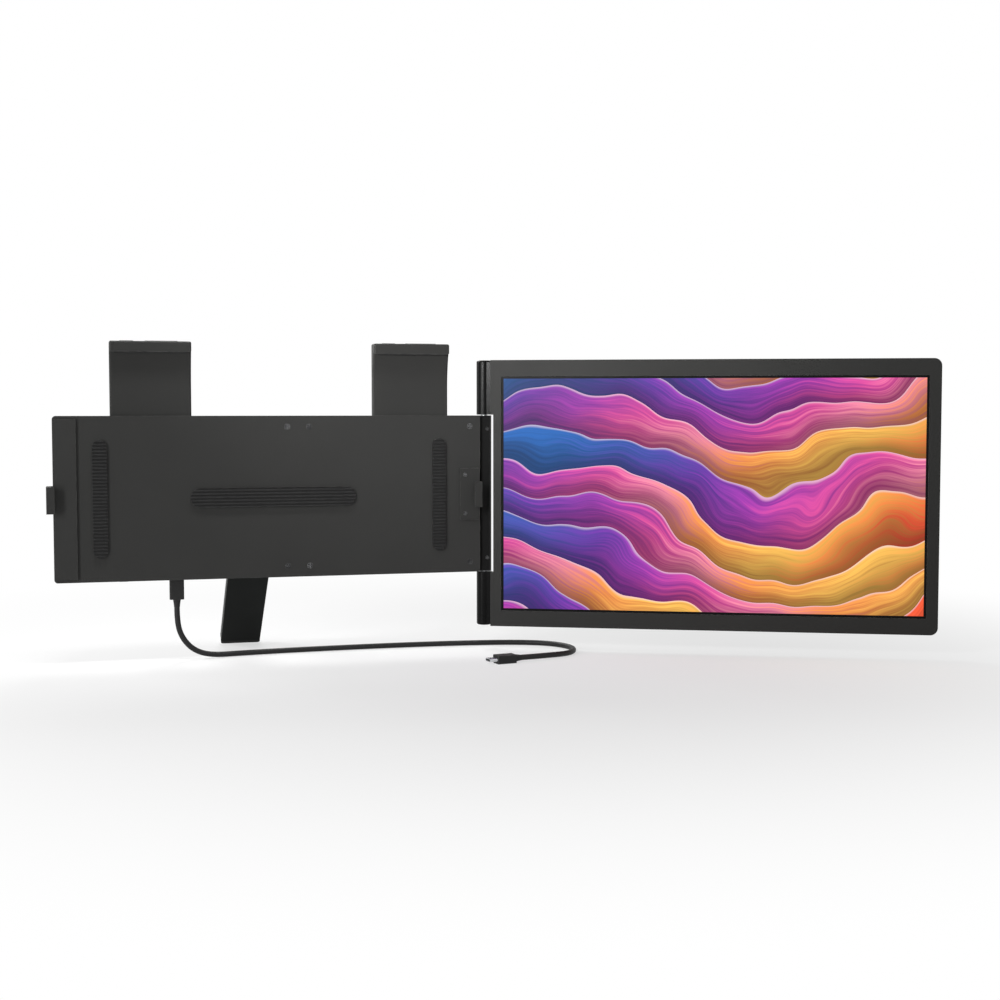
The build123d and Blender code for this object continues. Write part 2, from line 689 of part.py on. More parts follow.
with BuildPart() as bracket_tray:
    with BuildSketch(front_plane(cover_inner)):
        RectangleRounded(bracket_length, bracket_height, bracket_corner)
    extrude(amount=cover_inner - tray_front)
    with BuildSketch(front_plane(cover_inner)):
        RectangleRounded(inner_length, inner_height, bracket_corner / 2)
    extrude(amount=room_depth, mode=Mode.SUBTRACT)
    with BuildSketch(front_plane(tray_front)):
        with Locations((-half_length, 0)):
            Rectangle(end_rim_width, bracket_height - 2 * bracket_corner, align=(Align.MIN, Align.CENTER))
    extrude(amount=pad_thickness)
    with BuildSketch(front_plane(cover_inner)):
        with Locations((leg_slot_middle, slot_floor)):
            Rectangle(slot_outer_width, slot_floor + inner_half, align=(Align.CENTER, Align.MAX))
    extrude(amount=room_depth)
    with BuildSketch(front_plane(cover_inner)):
        with Locations((leg_slot_middle, leg_slot_top)):
            Rectangle(leg_slot_width, slot_mouth_height + overrun, align=(Align.CENTER, Align.MAX))
    extrude(amount=room_depth, mode=Mode.SUBTRACT)
    with BuildSketch(front_plane(cover_inner)):
        with Locations((leg_slot_middle, leg_slot_top)):
            SlotOverall(scallop_width, 2 * scallop_height)
    extrude(amount=scallop_depth - cover_thickness, mode=Mode.SUBTRACT)
    for x in (near_clip_x, far_clip_x):
        with Locations((x, clip_back - clip_thickness / 2, half_height)):
            Box(clip_width + 2 * slide_clearance, clip_thickness + 2 * slide_clearance, 4 * tray_wall,
                mode=Mode.SUBTRACT)
    for side in (-1, 1):
        with Locations((half_length, lug_front + lug_thickness / 2, side * lug_middle)):
            Box(4 * tray_wall, lug_thickness + 2 * fit, lug_height + 2 * fit, mode=Mode.SUBTRACT)
        for step in (-lug_screw_spacing / 2, lug_screw_spacing / 2):
            with Locations(front_plane(tray_inner, lug_x, side * lug_middle + step)):
                Cylinder(cover_boss_radius, lug_boss_height, align=flush)
    with Locations(*lug_spots):
        screw_hole(screw_radius, screw_head_height, screw_radius, lug_screw_grip)
    with Locations((-half_length, slider_back - slider_thickness / 2, 0)):
        Box(4 * tray_wall, slider_thickness + 2 * slide_clearance, hook_height + 2 * slide_clearance,
            mode=Mode.SUBTRACT)
    for x, z in board_holes:
        with Locations(front_plane(tray_inner, x, z)):
            Cylinder(board_hole_inset - seat, board_standoff, align=flush)
            Cylinder(small_screw_radius + fit, 2 * board_standoff, mode=Mode.SUBTRACT)
    with BuildSketch(Plane(origin=(0, port_y, -half_height), x_dir=(1, 0, 0), z_dir=(0, 0, 1))):
        for x in usb_xs:
            with Locations((x, 0)):
                SlotOverall(usb_width + 2 * port_clearance, usb_height + 2 * port_clearance)
        with Locations((hdmi_x, 0)):
            Rectangle(hdmi_width + 2 * port_clearance, hdmi_height + 2 * port_clearance)
        with Locations((button_x, 0)):
            RectangleRounded(button_width + 2 * port_clearance, button_depth + 2 * port_clearance,
                             button_depth / 4)
    extrude(amount=tray_wall, mode=Mode.SUBTRACT)
    with Locations(*tray_screw_spots):
        screw_hole(screw_head_radius, screw_head_height, screw_radius, screw_length)
    with Locations(*hook_screw_spots):
        Cylinder(small_screw_radius + fit, hook_base_thickness + tray_floor + overrun, align=flush,
                 mode=Mode.SUBTRACT)
    with Locations(front_plane(tray_inner, leg_slot_middle, leg_pivot_z)):
        with Locations((0, 0, -(leg_pivot_y - tray_inner))):
            Cylinder(leg_pin_radius + fit, leg_slot_width + 4 * leg_slot_wall, rotation=(0, 90, 0),
                     mode=Mode.SUBTRACT)
bracket_tray.part.label = "bracket_tray"
export_step(bracket_tray.part, "parts/bracket_tray.step")

# Bracket: two rear covers that meet at the seam
with BuildPart() as rear_cover_hinge_side:
    with BuildSketch(front_plane(bracket_back)):
        RectangleRounded(bracket_length, bracket_height, bracket_corner)
        with Locations((cover_seam_x + cover_seam / 2, 0)):
            Rectangle(bracket_length, bracket_height, align=(Align.MAX, Align.CENTER), mode=Mode.SUBTRACT)
    extrude(amount=cover_thickness)
    fillet(rear_cover_hinge_side.faces().sort_by(Axis.Y)[-1].edges(), bracket_edge_round / 2)
    for x in cover_boss_xs[:2]:
        for z in (-cover_boss_z, cover_boss_z):
            with Locations(front_plane(cover_inner, x, z)):
                Cylinder(cover_boss_radius, room_depth, align=standing)
    with Locations(*tray_screw_spots):
        screw_hole(screw_radius, screw_head_height, screw_radius, screw_length)
rear_cover_hinge_side.part.label = "rear_cover_hinge_side"
export_step(rear_cover_hinge_side.part, "parts/rear_cover_hinge_side.step")

with BuildPart() as rear_cover_leg_side:
    with BuildSketch(front_plane(bracket_back)) as cover_outline:
        RectangleRounded(bracket_length, bracket_height, bracket_corner)
        with Locations((cover_seam_x - cover_seam / 2, 0)):
            Rectangle(bracket_length, bracket_height, align=(Align.MIN, Align.CENTER), mode=Mode.SUBTRACT)
        with Locations((leg_slot_middle, leg_slot_top)):
            Rectangle(leg_slot_width, slot_mouth_height + overrun, align=(Align.CENTER, Align.MAX),
                      mode=Mode.SUBTRACT)
            SlotOverall(scallop_width, 2 * scallop_height, mode=Mode.SUBTRACT)
        slot_corners = cover_outline.vertices().group_by(Axis.Y)[0].sort_by(Axis.X)[1:3]
        fillet(slot_corners, leg_slot_round)
    extrude(amount=cover_thickness)
    fillet(rear_cover_leg_side.faces().sort_by(Axis.Y)[-1].edges(), bracket_edge_round / 2)
    for x in cover_boss_xs[2:]:
        for z in (-cover_boss_z, cover_boss_z):
            with Locations(front_plane(cover_inner, x, z)):
                Cylinder(cover_boss_radius, room_depth, align=standing)
    with Locations(*tray_screw_spots):
        screw_hole(screw_radius, screw_head_height, screw_radius, screw_length)
rear_cover_leg_side.part.label = "rear_cover_leg_side"
export_step(rear_cover_leg_side.part, "parts/rear_cover_leg_side.step")

with BuildPart() as tray_screws:
    with Locations(*tray_screw_spots):
        screw(screw_head_radius, screw_head_height, screw_radius, screw_length)
tray_screws.part.label = "tray_screws"
export_step(tray_screws.part, "parts/tray_screws.step")

with BuildPart() as lug_screws:
    with Locations(*lug_spots):
        screw(screw_head_radius, screw_head_height, screw_radius, lug_screw_grip)
lug_screws.part.label = "lug_screws"
export_step(lug_screws.part, "parts/lug_screws.step")

# Bracket: soft pads on the lid's plane
with BuildPart() as lid_pad_middle:
    with BuildSketch(front_plane(tray_front)):
        SlotOverall(middle_pad_length, middle_pad_height)
    extrude(amount=pad_thickness)
lid_pad_middle.part.label = "lid_pad_middle"
export_step(lid_pad_middle.part, "parts/lid_pad_middle.step")

with BuildPart() as lid_pads_end:
    with BuildSketch(front_plane(tray_front)):
        with GridLocations(bracket_length - 2 * (end_pad_inset + end_pad_width), 0, 2, 1):
            SlotOverall(bracket_height - 2 * end_pad_margin, end_pad_width, rotation=90)
    extrude(amount=pad_thickness)
lid_pads_end.part.label = "lid_pads_end"
export_step(lid_pads_end.part, "parts/lid_pads_end.step")

# Top clips: sleeve, friction shoes, arm with its hook, and the hook's pad
shoe_back = clip_back + slide_clearance + shoe_thickness
for end, x in (("near", near_clip_x), ("far", far_clip_x)):
    with BuildPart() as clip_sleeve:
        with Locations((x, (tray_inner + cover_inner) / 2, inner_half)):
            Box(sleeve_width, room_depth, sleeve_length, align=flush)
        with Locations((x, clip_back - clip_thickness / 2, inner_half)):
            Box(clip_width + 2 * slide_clearance, clip_thickness + 2 * slide_clearance, 3 * sleeve_length,
                mode=Mode.SUBTRACT)
        with Locations((x, clip_back, inner_half - shoe_height * 2)):
            with GridLocations(clip_width / 2, 0, 2, 1):
                Box(shoe_width + 2 * fit, 2 * (slide_clearance + shoe_thickness), shoe_height + 2 * fit,
                    mode=Mode.SUBTRACT)
    clip_sleeve.part.label = f"{end}_clip_sleeve"
    export_step(clip_sleeve.part, f"parts/{end}_clip_sleeve.step")

    with BuildPart() as clip_arm:
        with BuildSketch(side_plane(x)) as arm_section:
            with BuildLine():
                Polyline((clip_front, hook_underside - clip_curve_height), (clip_front, clip_bottom),
                         (clip_back, clip_bottom), (clip_back, clip_top), (-clip_hook_overhang, clip_top),
                         (-clip_hook_overhang, hook_underside), (0, hook_underside))
                TangentArc((clip_front, hook_underside - clip_curve_height), (0, hook_underside),
                           tangent=(0, 1))
            make_face()
            fillet(arm_section.vertices().group_by(Axis.Y)[-1], clip_hook_round)
        extrude(amount=clip_width / 2, both=True)
        for clip_side in (clip_arm.faces().sort_by(Axis.X)[0], clip_arm.faces().sort_by(Axis.X)[-1]):
            fillet(clip_side.edges(), clip_edge_round)
        for place, length in clip_mark_shares:
            with Locations((x + clip_width * place, (clip_back - clip_hook_overhang) / 2, clip_top)):
                Box(clip_width * length, clip_mark_width, clip_mark_height, align=standing)
    clip_arm.part.label = f"{end}_clip_arm"
    export_step(clip_arm.part, f"parts/{end}_clip_arm.step")

    with BuildPart() as clip_pad:
        with Locations((x, -clip_hook_overhang, hook_underside)):
            Box(clip_width - 2 * (clip_edge_round + hook_pad_margin), clip_hook_overhang - seat,
                clip_pad_thickness,
                align=(Align.CENTER, Align.MIN, Align.MAX))
    clip_pad.part.label = f"{end}_clip_pad"
    export_step(clip_pad.part, f"parts/{end}_clip_pad.step")

with BuildPart() as clip_friction_shoes:
    for x in (near_clip_x, far_clip_x):
        with Locations((x, shoe_back, inner_half - shoe_height * 2)):
            with GridLocations(clip_width / 2, 0, 2, 1):
                Box(shoe_width, shoe_thickness + slide_clearance - fit, shoe_height,
                    align=(Align.CENTER, Align.MAX, Align.CENTER))
clip_friction_shoes.part.label = "clip_friction_shoes"
export_step(clip_friction_shoes.part, "parts/clip_friction_shoes.step")

# Side hooks: one fixed beside the hinge, one on a slider at the far end
near_wall_outer = half_length - near_hook_edge_inset
hook_front = -hook_gap - hook_lip
with BuildPart() as near_side_hook:
    with BuildSketch(front_plane(tray_front)):
        with Locations((hook_base_x, 0)):
            RectangleRounded(hook_base_width, hook_base_height, hook_round)
    extrude(amount=hook_base_thickness)
    with BuildSketch(Plane.XY.offset(-hook_height / 2)):
        with BuildLine():
            Polyline((near_wall_outer, tray_front), (near_wall_outer, hook_front),
                     (near_wall_outer - hook_wall - hook_overlap, hook_front),
                     (near_wall_outer - hook_wall - hook_overlap, -hook_gap),
                     (near_wall_outer - hook_wall, -hook_gap), (near_wall_outer - hook_wall, tray_front),
                     close=True)
        make_face()
    extrude(amount=hook_height)
    lip_edges = near_side_hook.edges().filter_by(Axis.Y).group_by(Axis.Y)[0]
    fillet(lip_edges.group_by(Axis.X)[0], hook_round)
    with Locations(*hook_screw_spots):
        Cylinder(small_head_radius + fit, small_head_height, align=flush, mode=Mode.SUBTRACT)
        Cylinder(small_screw_radius + fit, 2 * hook_base_thickness, mode=Mode.SUBTRACT)
near_side_hook.part.label = "near_side_hook"
export_step(near_side_hook.part, "parts/near_side_hook.step")

with BuildPart() as near_hook_pad:
    with Locations((near_wall_outer - hook_wall, -hook_gap, 0)):
        Box(hook_overlap - seat, hook_pad_thickness, hook_height - 2 * hook_pad_margin,
            align=(Align.MAX, Align.MIN, Align.CENTER))
near_hook_pad.part.label = "near_hook_pad"
export_step(near_hook_pad.part, "parts/near_hook_pad.step")

with BuildPart() as near_hook_screws:
    with Locations(*hook_screw_spots):
        screw(small_head_radius, small_head_height, small_screw_radius,
              hook_base_thickness + small_screw_length)
near_hook_screws.part.label = "near_hook_screws"
export_step(near_hook_screws.part, "parts/near_hook_screws.step")

far_wall_inner = -half_length - far_hook_rest
far_wall_outer = far_wall_inner - hook_wall
slider_inner = slider_length - half_length
with BuildPart() as far_side_hook:
    with BuildSketch(Plane.XY.offset(-hook_height / 2)):
        with BuildLine():
            Polyline((slider_inner, slider_front), (slider_inner, slider_back), (far_wall_outer, slider_back),
                     (far_wall_outer, hook_front), (far_wall_inner + hook_overlap, hook_front),
                     (far_wall_inner + hook_overlap, -hook_gap), (far_wall_inner, -hook_gap),
                     (far_wall_inner, slider_front), close=True)
        make_face()
    extrude(amount=hook_height)
    lip_edges = far_side_hook.edges().filter_by(Axis.Y).group_by(Axis.Y)[0]
    fillet(lip_edges.group_by(Axis.X)[-1], hook_round)
far_side_hook.part.label = "far_side_hook"
export_step(far_side_hook.part, "parts/far_side_hook.step")

with BuildPart() as far_hook_pad:
    with Locations((far_wall_inner, -hook_gap, 0)):
        Box(hook_overlap - seat, hook_pad_thickness, hook_height - 2 * hook_pad_margin,
            align=(Align.MIN, Align.MIN, Align.CENTER))
far_hook_pad.part.label = "far_hook_pad"
export_step(far_hook_pad.part, "parts/far_hook_pad.step")

with BuildPart() as side_hook_sleeve:
    with Locations((tray_wall - half_length, (tray_inner + cover_inner) / 2, 0)):
        Box(slider_sleeve_length, room_depth, hook_height + 2 * (slide_clearance + slider_sleeve_wall),
            align=(Align.MIN, Align.CENTER, Align.CENTER))
        Box(4 * slider_sleeve_length, slider_thickness + 2 * slide_clearance, hook_height + 2 * slide_clearance,
            mode=Mode.SUBTRACT)
side_hook_sleeve.part.label = "side_hook_sleeve"
export_step(side_hook_sleeve.part, "parts/side_hook_sleeve.step")

# Electronics: board, shield, ports, switch, button and the wires to the hinge
with BuildPart() as main_board:
    with BuildSketch(front_plane(board_face)):
        with Locations((board_middle_x, board_middle_z)):
            Rectangle(board_length, board_height)
        with Locations(*board_holes):
            Circle(small_screw_radius + fit, mode=Mode.SUBTRACT)
    extrude(amount=board_thickness)
main_board.part.label = "main_board"
export_step(main_board.part, "parts/main_board.step")

with BuildPart() as board_screws:
    with Locations(*board_screw_spots):
        screw(small_head_radius, small_head_height, small_screw_radius, board_thickness + small_screw_length)
board_screws.part.label = "board_screws"
export_step(board_screws.part, "parts/board_screws.step")

with BuildPart() as board_shield:
    with Locations((board_middle_x, board_face, board_bottom + board_height)):
        Box(shield_length, shield_depth, shield_height, align=(Align.CENTER, Align.MIN, Align.MAX))
board_shield.part.label = "board_shield"
export_step(board_shield.part, "parts/board_shield.step")

with BuildPart() as usb_c_ports:
    for x in usb_xs:
        with BuildSketch(port_plane(x, port_mouth)):
            SlotOverall(usb_width, usb_height)
            SlotOverall(usb_width - 2 * usb_wall, usb_height - 2 * usb_wall, mode=Mode.SUBTRACT)
        extrude(amount=-usb_length)
        with BuildSketch(port_plane(x, port_mouth + usb_length)):
            SlotOverall(usb_width, usb_height)
        extrude(amount=usb_base_length)
        with BuildSketch(port_plane(x, port_mouth + usb_length - usb_base_length)):
            Rectangle(usb_tongue_width, usb_tongue_height)
        extrude(amount=usb_tongue_length)
usb_c_ports.part.label = "usb_c_ports"
export_step(usb_c_ports.part, "parts/usb_c_ports.step")

with BuildPart() as hdmi_port:
    with BuildSketch(port_plane(hdmi_x, port_mouth)):
        Trapezoid(hdmi_width, hdmi_height, hdmi_side_angle)
        offset(amount=-hdmi_wall, mode=Mode.SUBTRACT)
    extrude(amount=-hdmi_length)
    with BuildSketch(port_plane(hdmi_x, port_mouth + hdmi_length)):
        Trapezoid(hdmi_width, hdmi_height, hdmi_side_angle)
    extrude(amount=usb_base_length)
    with BuildSketch(port_plane(hdmi_x, port_mouth + hdmi_length - usb_base_length)):
        Rectangle(hdmi_tongue_width, usb_tongue_height)
    extrude(amount=usb_tongue_length)
hdmi_port.part.label = "hdmi_port"
export_step(hdmi_port.part, "parts/hdmi_port.step")

button_inside = seat - inner_half
button_top = button_inside + button_flange_height + button_stem
with BuildPart() as power_button:
    with BuildSketch(port_plane(button_x, -half_height - button_proud)):
        RectangleRounded(button_width, button_depth, button_depth / 4)
    extrude(amount=-(button_proud + tray_wall + seat))
    with BuildSketch(port_plane(button_x, button_inside)):
        RectangleRounded(button_width + 2 * button_flange, button_depth, button_depth / 4)
    extrude(amount=-button_flange_height)
    with BuildSketch(port_plane(button_x, button_inside + button_flange_height)):
        Circle(button_depth / 2)
    extrude(amount=-button_stem)
power_button.part.label = "power_button"
export_step(power_button.part, "parts/power_button.step")

with BuildPart() as button_switch:
    with Locations((button_x, board_face, button_top + button_travel_gap)):
        Box(switch_width, switch_depth, switch_height, align=(Align.CENTER, Align.MIN, Align.MIN))
button_switch.part.label = "button_switch"
export_step(button_switch.part, "parts/button_switch.step")

wire_left = (middle_start + slot_start) / 2
wire_right = (cover_boss_xs[1] + middle_end) / 2
wire_top = (slot_floor + inner_half) / 2
wire_low = -lug_middle - lug_height / 2
wire_end = half_length - tray_wall - wire_width
with BuildPart() as signal_wires:
    with BuildSketch(front_plane(tray_inner + wire_thickness)):
        with BuildLine():
            Polyline((wire_left, board_bottom + board_height), (wire_left, wire_top), (wire_right, wire_top),
                     (wire_right, wire_low), (wire_end, wire_low))
        trace(line_width=wire_width)
    extrude(amount=wire_thickness)
signal_wires.part.label = "signal_wires"
export_step(signal_wires.part, "parts/signal_wires.step")

# Leg: body, cover, screws and foot, drawn folded out, with its pin and washers
leg_screw_spots = [
    leg_plane(leg_cover_start + leg_cover_length / 2 + step * leg_screw_spacing, leg_thickness / 2)
    for step in (-1, 0, 1)
]
with BuildPart() as leg_body:
    with BuildSketch(leg_side):
        Circle(leg_thickness / 2)
        Rectangle(leg_length, leg_thickness, align=(Align.MIN, Align.CENTER))
    extrude(amount=leg_width / 2, both=True)
    for leg_flank in (leg_body.faces().sort_by(Axis.X)[0], leg_body.faces().sort_by(Axis.X)[-1]):
        fillet(leg_flank.edges(), leg_edge_round)
    with BuildSketch(leg_side):
        Circle(leg_pin_radius + fit)
    extrude(amount=leg_width, both=True, mode=Mode.SUBTRACT)
    with BuildSketch(leg_plane(leg_cover_start, leg_thickness / 2)):
        Rectangle(leg_cover_width + 2 * seat, leg_cover_length + seat, align=(Align.CENTER, Align.MIN))
    extrude(amount=-leg_cover_thickness, mode=Mode.SUBTRACT)
    with Locations(*leg_screw_spots):
        screw_hole(screw_radius, screw_head_height, screw_radius, screw_length)
leg_body.part.label = "leg_body"
export_step(leg_body.part, "parts/leg_body.step")

with BuildPart() as leg_cover:
    with BuildSketch(leg_plane(leg_cover_start, leg_thickness / 2)):
        Rectangle(leg_cover_width, leg_cover_length, align=(Align.CENTER, Align.MIN))
    extrude(amount=-leg_cover_thickness)
    with Locations(*leg_screw_spots):
        screw_hole(screw_head_radius, screw_head_height, screw_radius, screw_length)
leg_cover.part.label = "leg_cover"
export_step(leg_cover.part, "parts/leg_cover.step")

with BuildPart() as leg_screws:
    with Locations(*leg_screw_spots):
        screw(screw_head_radius, screw_head_height, screw_radius, screw_length)
leg_screws.part.label = "leg_screws"
export_step(leg_screws.part, "parts/leg_screws.step")

with BuildPart() as leg_foot:
    with BuildSketch(leg_side):
        with Locations((leg_length, 0)):
            Rectangle(leg_foot_length, leg_thickness, align=(Align.MIN, Align.CENTER))
    extrude(amount=leg_width / 2, both=True)
    outer_end = leg_foot.faces().sort_by(Axis(origin=(0, 0, 0), direction=leg_along))[-1].edges()
    upright = outer_end.filter_by(lambda edge: abs(edge.tangent_at(0).X) < 1 / 2)
    fillet(upright, leg_corner)
leg_foot.part.label = "leg_foot"
export_step(leg_foot.part, "parts/leg_foot.step")

with BuildPart() as leg_pin:
    with BuildSketch(leg_side):
        Circle(leg_pin_radius)
    extrude(amount=leg_slot_width / 2 + leg_slot_wall, both=True)
    for side in (-1, 1):
        with BuildSketch(leg_side.offset(side * (leg_slot_width / 2 + leg_slot_wall))):
            Circle(leg_pin_head_radius)
        extrude(amount=side * leg_pin_head)
leg_pin.part.label = "leg_pin"
export_step(leg_pin.part, "parts/leg_pin.step")

with BuildPart() as leg_washers:
    for side in (-1, 1):
        with BuildSketch(leg_side.offset(side * (leg_width / 2 + seat))):
            Circle(washer_radius)
            Circle(leg_pin_radius + fit, mode=Mode.SUBTRACT)
        extrude(amount=side * washer_thickness)
leg_washers.part.label = "leg_washers"
export_step(leg_washers.part, "parts/leg_washers.step")

# Lead: a plug in the port, the cord along the table, and its far plug lying there
grip_top = -half_height - grip_port_gap
cord_exit = grip_top - grip_length - relief_length
cord_level = table_level + cord_radius + fit
far_level = table_level + grip_height / 2 + fit


def plug_nose(plane):
    """The metal end of a plug, hollow for the port's tongue."""
    with BuildSketch(plane) as nose_section:
        SlotOverall(nose_width, nose_height)
        SlotOverall(nose_width - 2 * nose_wall, nose_height - 2 * nose_wall, mode=Mode.SUBTRACT)
    extrude(nose_section.sketch, amount=nose_length)


def plug_grip(plane):
    """The moulded grip of a plug, with its strain relief behind it."""
    with BuildSketch(plane) as grip_section:
        RectangleRounded(grip_width, grip_height, grip_round)
    extrude(grip_section.sketch, amount=-grip_length)
    with BuildSketch(plane.offset(-grip_length)) as relief_start:
        Circle(relief_radius)
    with BuildSketch(plane.offset(-grip_length - relief_length)) as relief_end:
        Circle(cord_radius)
    loft([relief_start.sketch, relief_end.sketch])


near_plug = Plane(origin=(lead_x, port_y, grip_top), x_dir=(1, 0, 0), z_dir=(0, 0, 1))
with BuildPart() as lead_plug_nose:
    plug_nose(near_plug)
lead_plug_nose.part.label = "lead_plug_nose"
export_step(lead_plug_nose.part, "parts/lead_plug_nose.step")

with BuildPart() as lead_plug_grip:
    plug_grip(near_plug)
lead_plug_grip.part.label = "lead_plug_grip"
export_step(lead_plug_grip.part, "parts/lead_plug_grip.step")

# Cord: its points are chosen by hand, from the plug down to the table, along it and round the loop
cord_points = [
    Vector(lead_x, port_y, cord_exit),
    Vector(lead_x, port_y, cord_exit - 11.5),
    Vector(lead_x + 3.5, port_y + 0.5, cord_exit - 22.5),
    Vector(lead_x + 11.5, port_y + 1.2, cord_level + 4.4),
    Vector(lead_x + 24, port_y + 2.5, cord_level),
    Vector(lead_x + 46, port_y + 6, cord_level),
    Vector(lead_x + 80, port_y + 10, cord_level),
    Vector(lead_x + 124, port_y + 12.5, cord_level),
    Vector(lead_x + 172, port_y + 13, cord_level),
    Vector(lead_x + 218, port_y + 10.5, cord_level),
    Vector(lead_x + 256, port_y + 4, cord_level),
    Vector(lead_x + 281, port_y - 9, cord_level),
    Vector(lead_x + 291, port_y - 33, cord_level),
    Vector(lead_x + 283, port_y - 56, cord_level),
    Vector(lead_x + 262, port_y - 70, far_level),
    Vector(lead_x + 238, port_y - 74, far_level),
]
bend_run_share = 0.45
cord_bends = []
for before, corner, after in zip(cord_points, cord_points[1:], cord_points[2:]):
    turn = (corner - before).get_angle(after - corner)
    shorter = min((corner - before).length, (after - corner).length)
    cord_bends.append(bend_run_share * shorter / tan(radians(turn / 2)))
print("cord bends:", [round(bend, 1) for bend in cord_bends])

with BuildPart() as lead_cord:
    with BuildLine() as cord_path:
        FilletPolyline(*cord_points, radius=cord_bends)
    with BuildSketch(Plane(origin=cord_points[0], x_dir=(1, 0, 0), z_dir=cord_points[1] - cord_points[0])):
        Circle(cord_radius)
    sweep()
lead_cord.part.label = "lead_cord"
export_step(lead_cord.part, "parts/lead_cord.step")
cord_length = cord_path.wire().length
print("cord length:", round(cord_length, 1))
tube_volume = pi * cord_radius**2 * cord_length
print("cord volume over section times length:", round(lead_cord.part.volume / tube_volume, 4))

far_way = (cord_points[-1] - cord_points[-2]).normalized()
far_plug_face = cord_points[-1] + far_way * (relief_length + grip_length)
far_plug = Plane(origin=far_plug_face, x_dir=far_way.cross(Vector(0, 0, 1)), z_dir=far_way)
with BuildPart() as lead_far_grip:
    plug_grip(far_plug)
lead_far_grip.part.label = "lead_far_grip"
export_step(lead_far_grip.part, "parts/lead_far_grip.step")

with BuildPart() as lead_far_nose:
    plug_nose(far_plug)
lead_far_nose.part.label = "lead_far_nose"
export_step(lead_far_nose.part, "parts/lead_far_nose.step")
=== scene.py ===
# %% [markdown]
# A hinged screen on a clip-on bracket, dressed for its portrait. The solid model already holds every piece
# in its true place, in metres, with the bracket's flat front at y = 0. This lesson loads it, places a
# camera and lays the lead, and then gives each piece the finish that it has on the real object. Run the
# cells from top to bottom.

# %% Load the solid model and keep its size
import json
import math
import bmesh
import bpy
from mathutils import Euler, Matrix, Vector


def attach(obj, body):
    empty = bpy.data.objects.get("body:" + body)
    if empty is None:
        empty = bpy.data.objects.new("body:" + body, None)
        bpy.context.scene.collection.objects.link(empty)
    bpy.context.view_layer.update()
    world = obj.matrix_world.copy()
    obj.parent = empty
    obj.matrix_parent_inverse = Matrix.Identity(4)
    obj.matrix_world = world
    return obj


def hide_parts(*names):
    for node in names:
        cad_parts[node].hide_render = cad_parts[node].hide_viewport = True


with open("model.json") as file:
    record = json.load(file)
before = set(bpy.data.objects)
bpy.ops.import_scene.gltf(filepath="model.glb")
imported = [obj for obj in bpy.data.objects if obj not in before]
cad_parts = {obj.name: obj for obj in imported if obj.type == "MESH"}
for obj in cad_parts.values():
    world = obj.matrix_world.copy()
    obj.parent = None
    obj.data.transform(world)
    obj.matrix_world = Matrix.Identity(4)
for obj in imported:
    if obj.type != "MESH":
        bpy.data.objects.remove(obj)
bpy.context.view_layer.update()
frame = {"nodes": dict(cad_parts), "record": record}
nodes = frame["nodes"]

# %% [markdown]
# The camera stands a little over a metre away, in front of the bracket's far end, and looks along the
# bracket towards the screen. From there the screen, which is turned in by 24 degrees, faces the camera
# almost squarely. The view could be set by eye. Here its place comes from fitting a simple camera to the
# corners of the screen and the clips, because then the edges fall where the photograph has them. A lens
# near 55 mm on a full frame keeps the upright edges upright, so no shift is needed.

# %% Place the camera
looks_down = 3.4
turned_right = 15.3
camera_data = bpy.data.cameras.new("front_camera")
camera_data.sensor_width = 36.0
camera_data.lens = 55.5
camera_data.clip_end = 200.0
camera = bpy.data.objects.new("front_camera", camera_data)
camera.location = (-0.1374, -1.1237, 0.0643)
camera.rotation_euler = Euler((math.radians(90 - looks_down), 0, math.radians(-turned_right)))
bpy.context.scene.collection.objects.link(camera)
bpy.context.scene.camera = camera
sight = camera.rotation_euler.to_matrix() @ Vector((0, 0, -1))
print("camera looks along", tuple(round(part, 3) for part in sight))

# %% [markdown]
# The lead is a length of soft round cable. It leaves the plug straight down, bends on to the table, runs
# along under the bracket and comes round the hinge to its second plug. A tube along straight runs would
# look like bent wire, so the route's points steer a NURBS curve, which passes near them in one smooth line.
# A bevel of 1 gives the curve its round section, and each point carries the lead's radius. The other way
# round, with the radius in the bevel, the curve's box would grow by a metre on every side.

# %% Choose the lead's route
lead_exit = Vector((-0.0702, 0.0078, -0.0795))
table_height = -0.1177
lead_radius = 0.002
lead_clearance = 0.0001
plug_half_height = 0.0032
lead_height = table_height + lead_radius + lead_clearance
far_plug_height = table_height + plug_half_height
lead_route = [
    (0.0, 0.0, lead_exit.z), (0.0, 0.0, -0.0910), (0.0035, 0.0005, -0.1020),
    (0.0115, 0.0012, lead_height + 0.0044), (0.024, 0.0025, lead_height), (0.046, 0.006, lead_height),
    (0.080, 0.010, lead_height), (0.124, 0.0125, lead_height), (0.172, 0.013, lead_height),
    (0.218, 0.0105, lead_height), (0.256, 0.004, lead_height), (0.281, -0.009, lead_height),
    (0.291, -0.033, lead_height), (0.283, -0.056, lead_height), (0.262, -0.070, far_plug_height),
    (0.238, -0.074, far_plug_height),
]
print("the lead's route has", len(lead_route), "points and lies at", round(lead_height, 4))

# %% Lay the lead along its route
lead_curve = bpy.data.curves.new("lead", "CURVE")
lead_curve.dimensions = "3D"
lead_curve.bevel_depth = 1.0
lead_curve.bevel_resolution = 7
lead_curve.use_fill_caps = True
lead_line = lead_curve.splines.new("NURBS")
lead_line.points.add(len(lead_route) - 1)
for point, (along, back, height) in zip(lead_line.points, lead_route):
    point.co = (lead_exit.x + along, lead_exit.y + back, height, 1.0)
    point.radius = lead_radius
lead_line.order_u = 3
lead_line.use_endpoint_u = True
lead_line.resolution_u = 24
lead = bpy.data.objects.new("lead", lead_curve)
bpy.context.scene.collection.objects.link(lead)
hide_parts("lead_cord")
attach(lead, "bracket")
print("lead laid through", len(lead_line.points), "points")

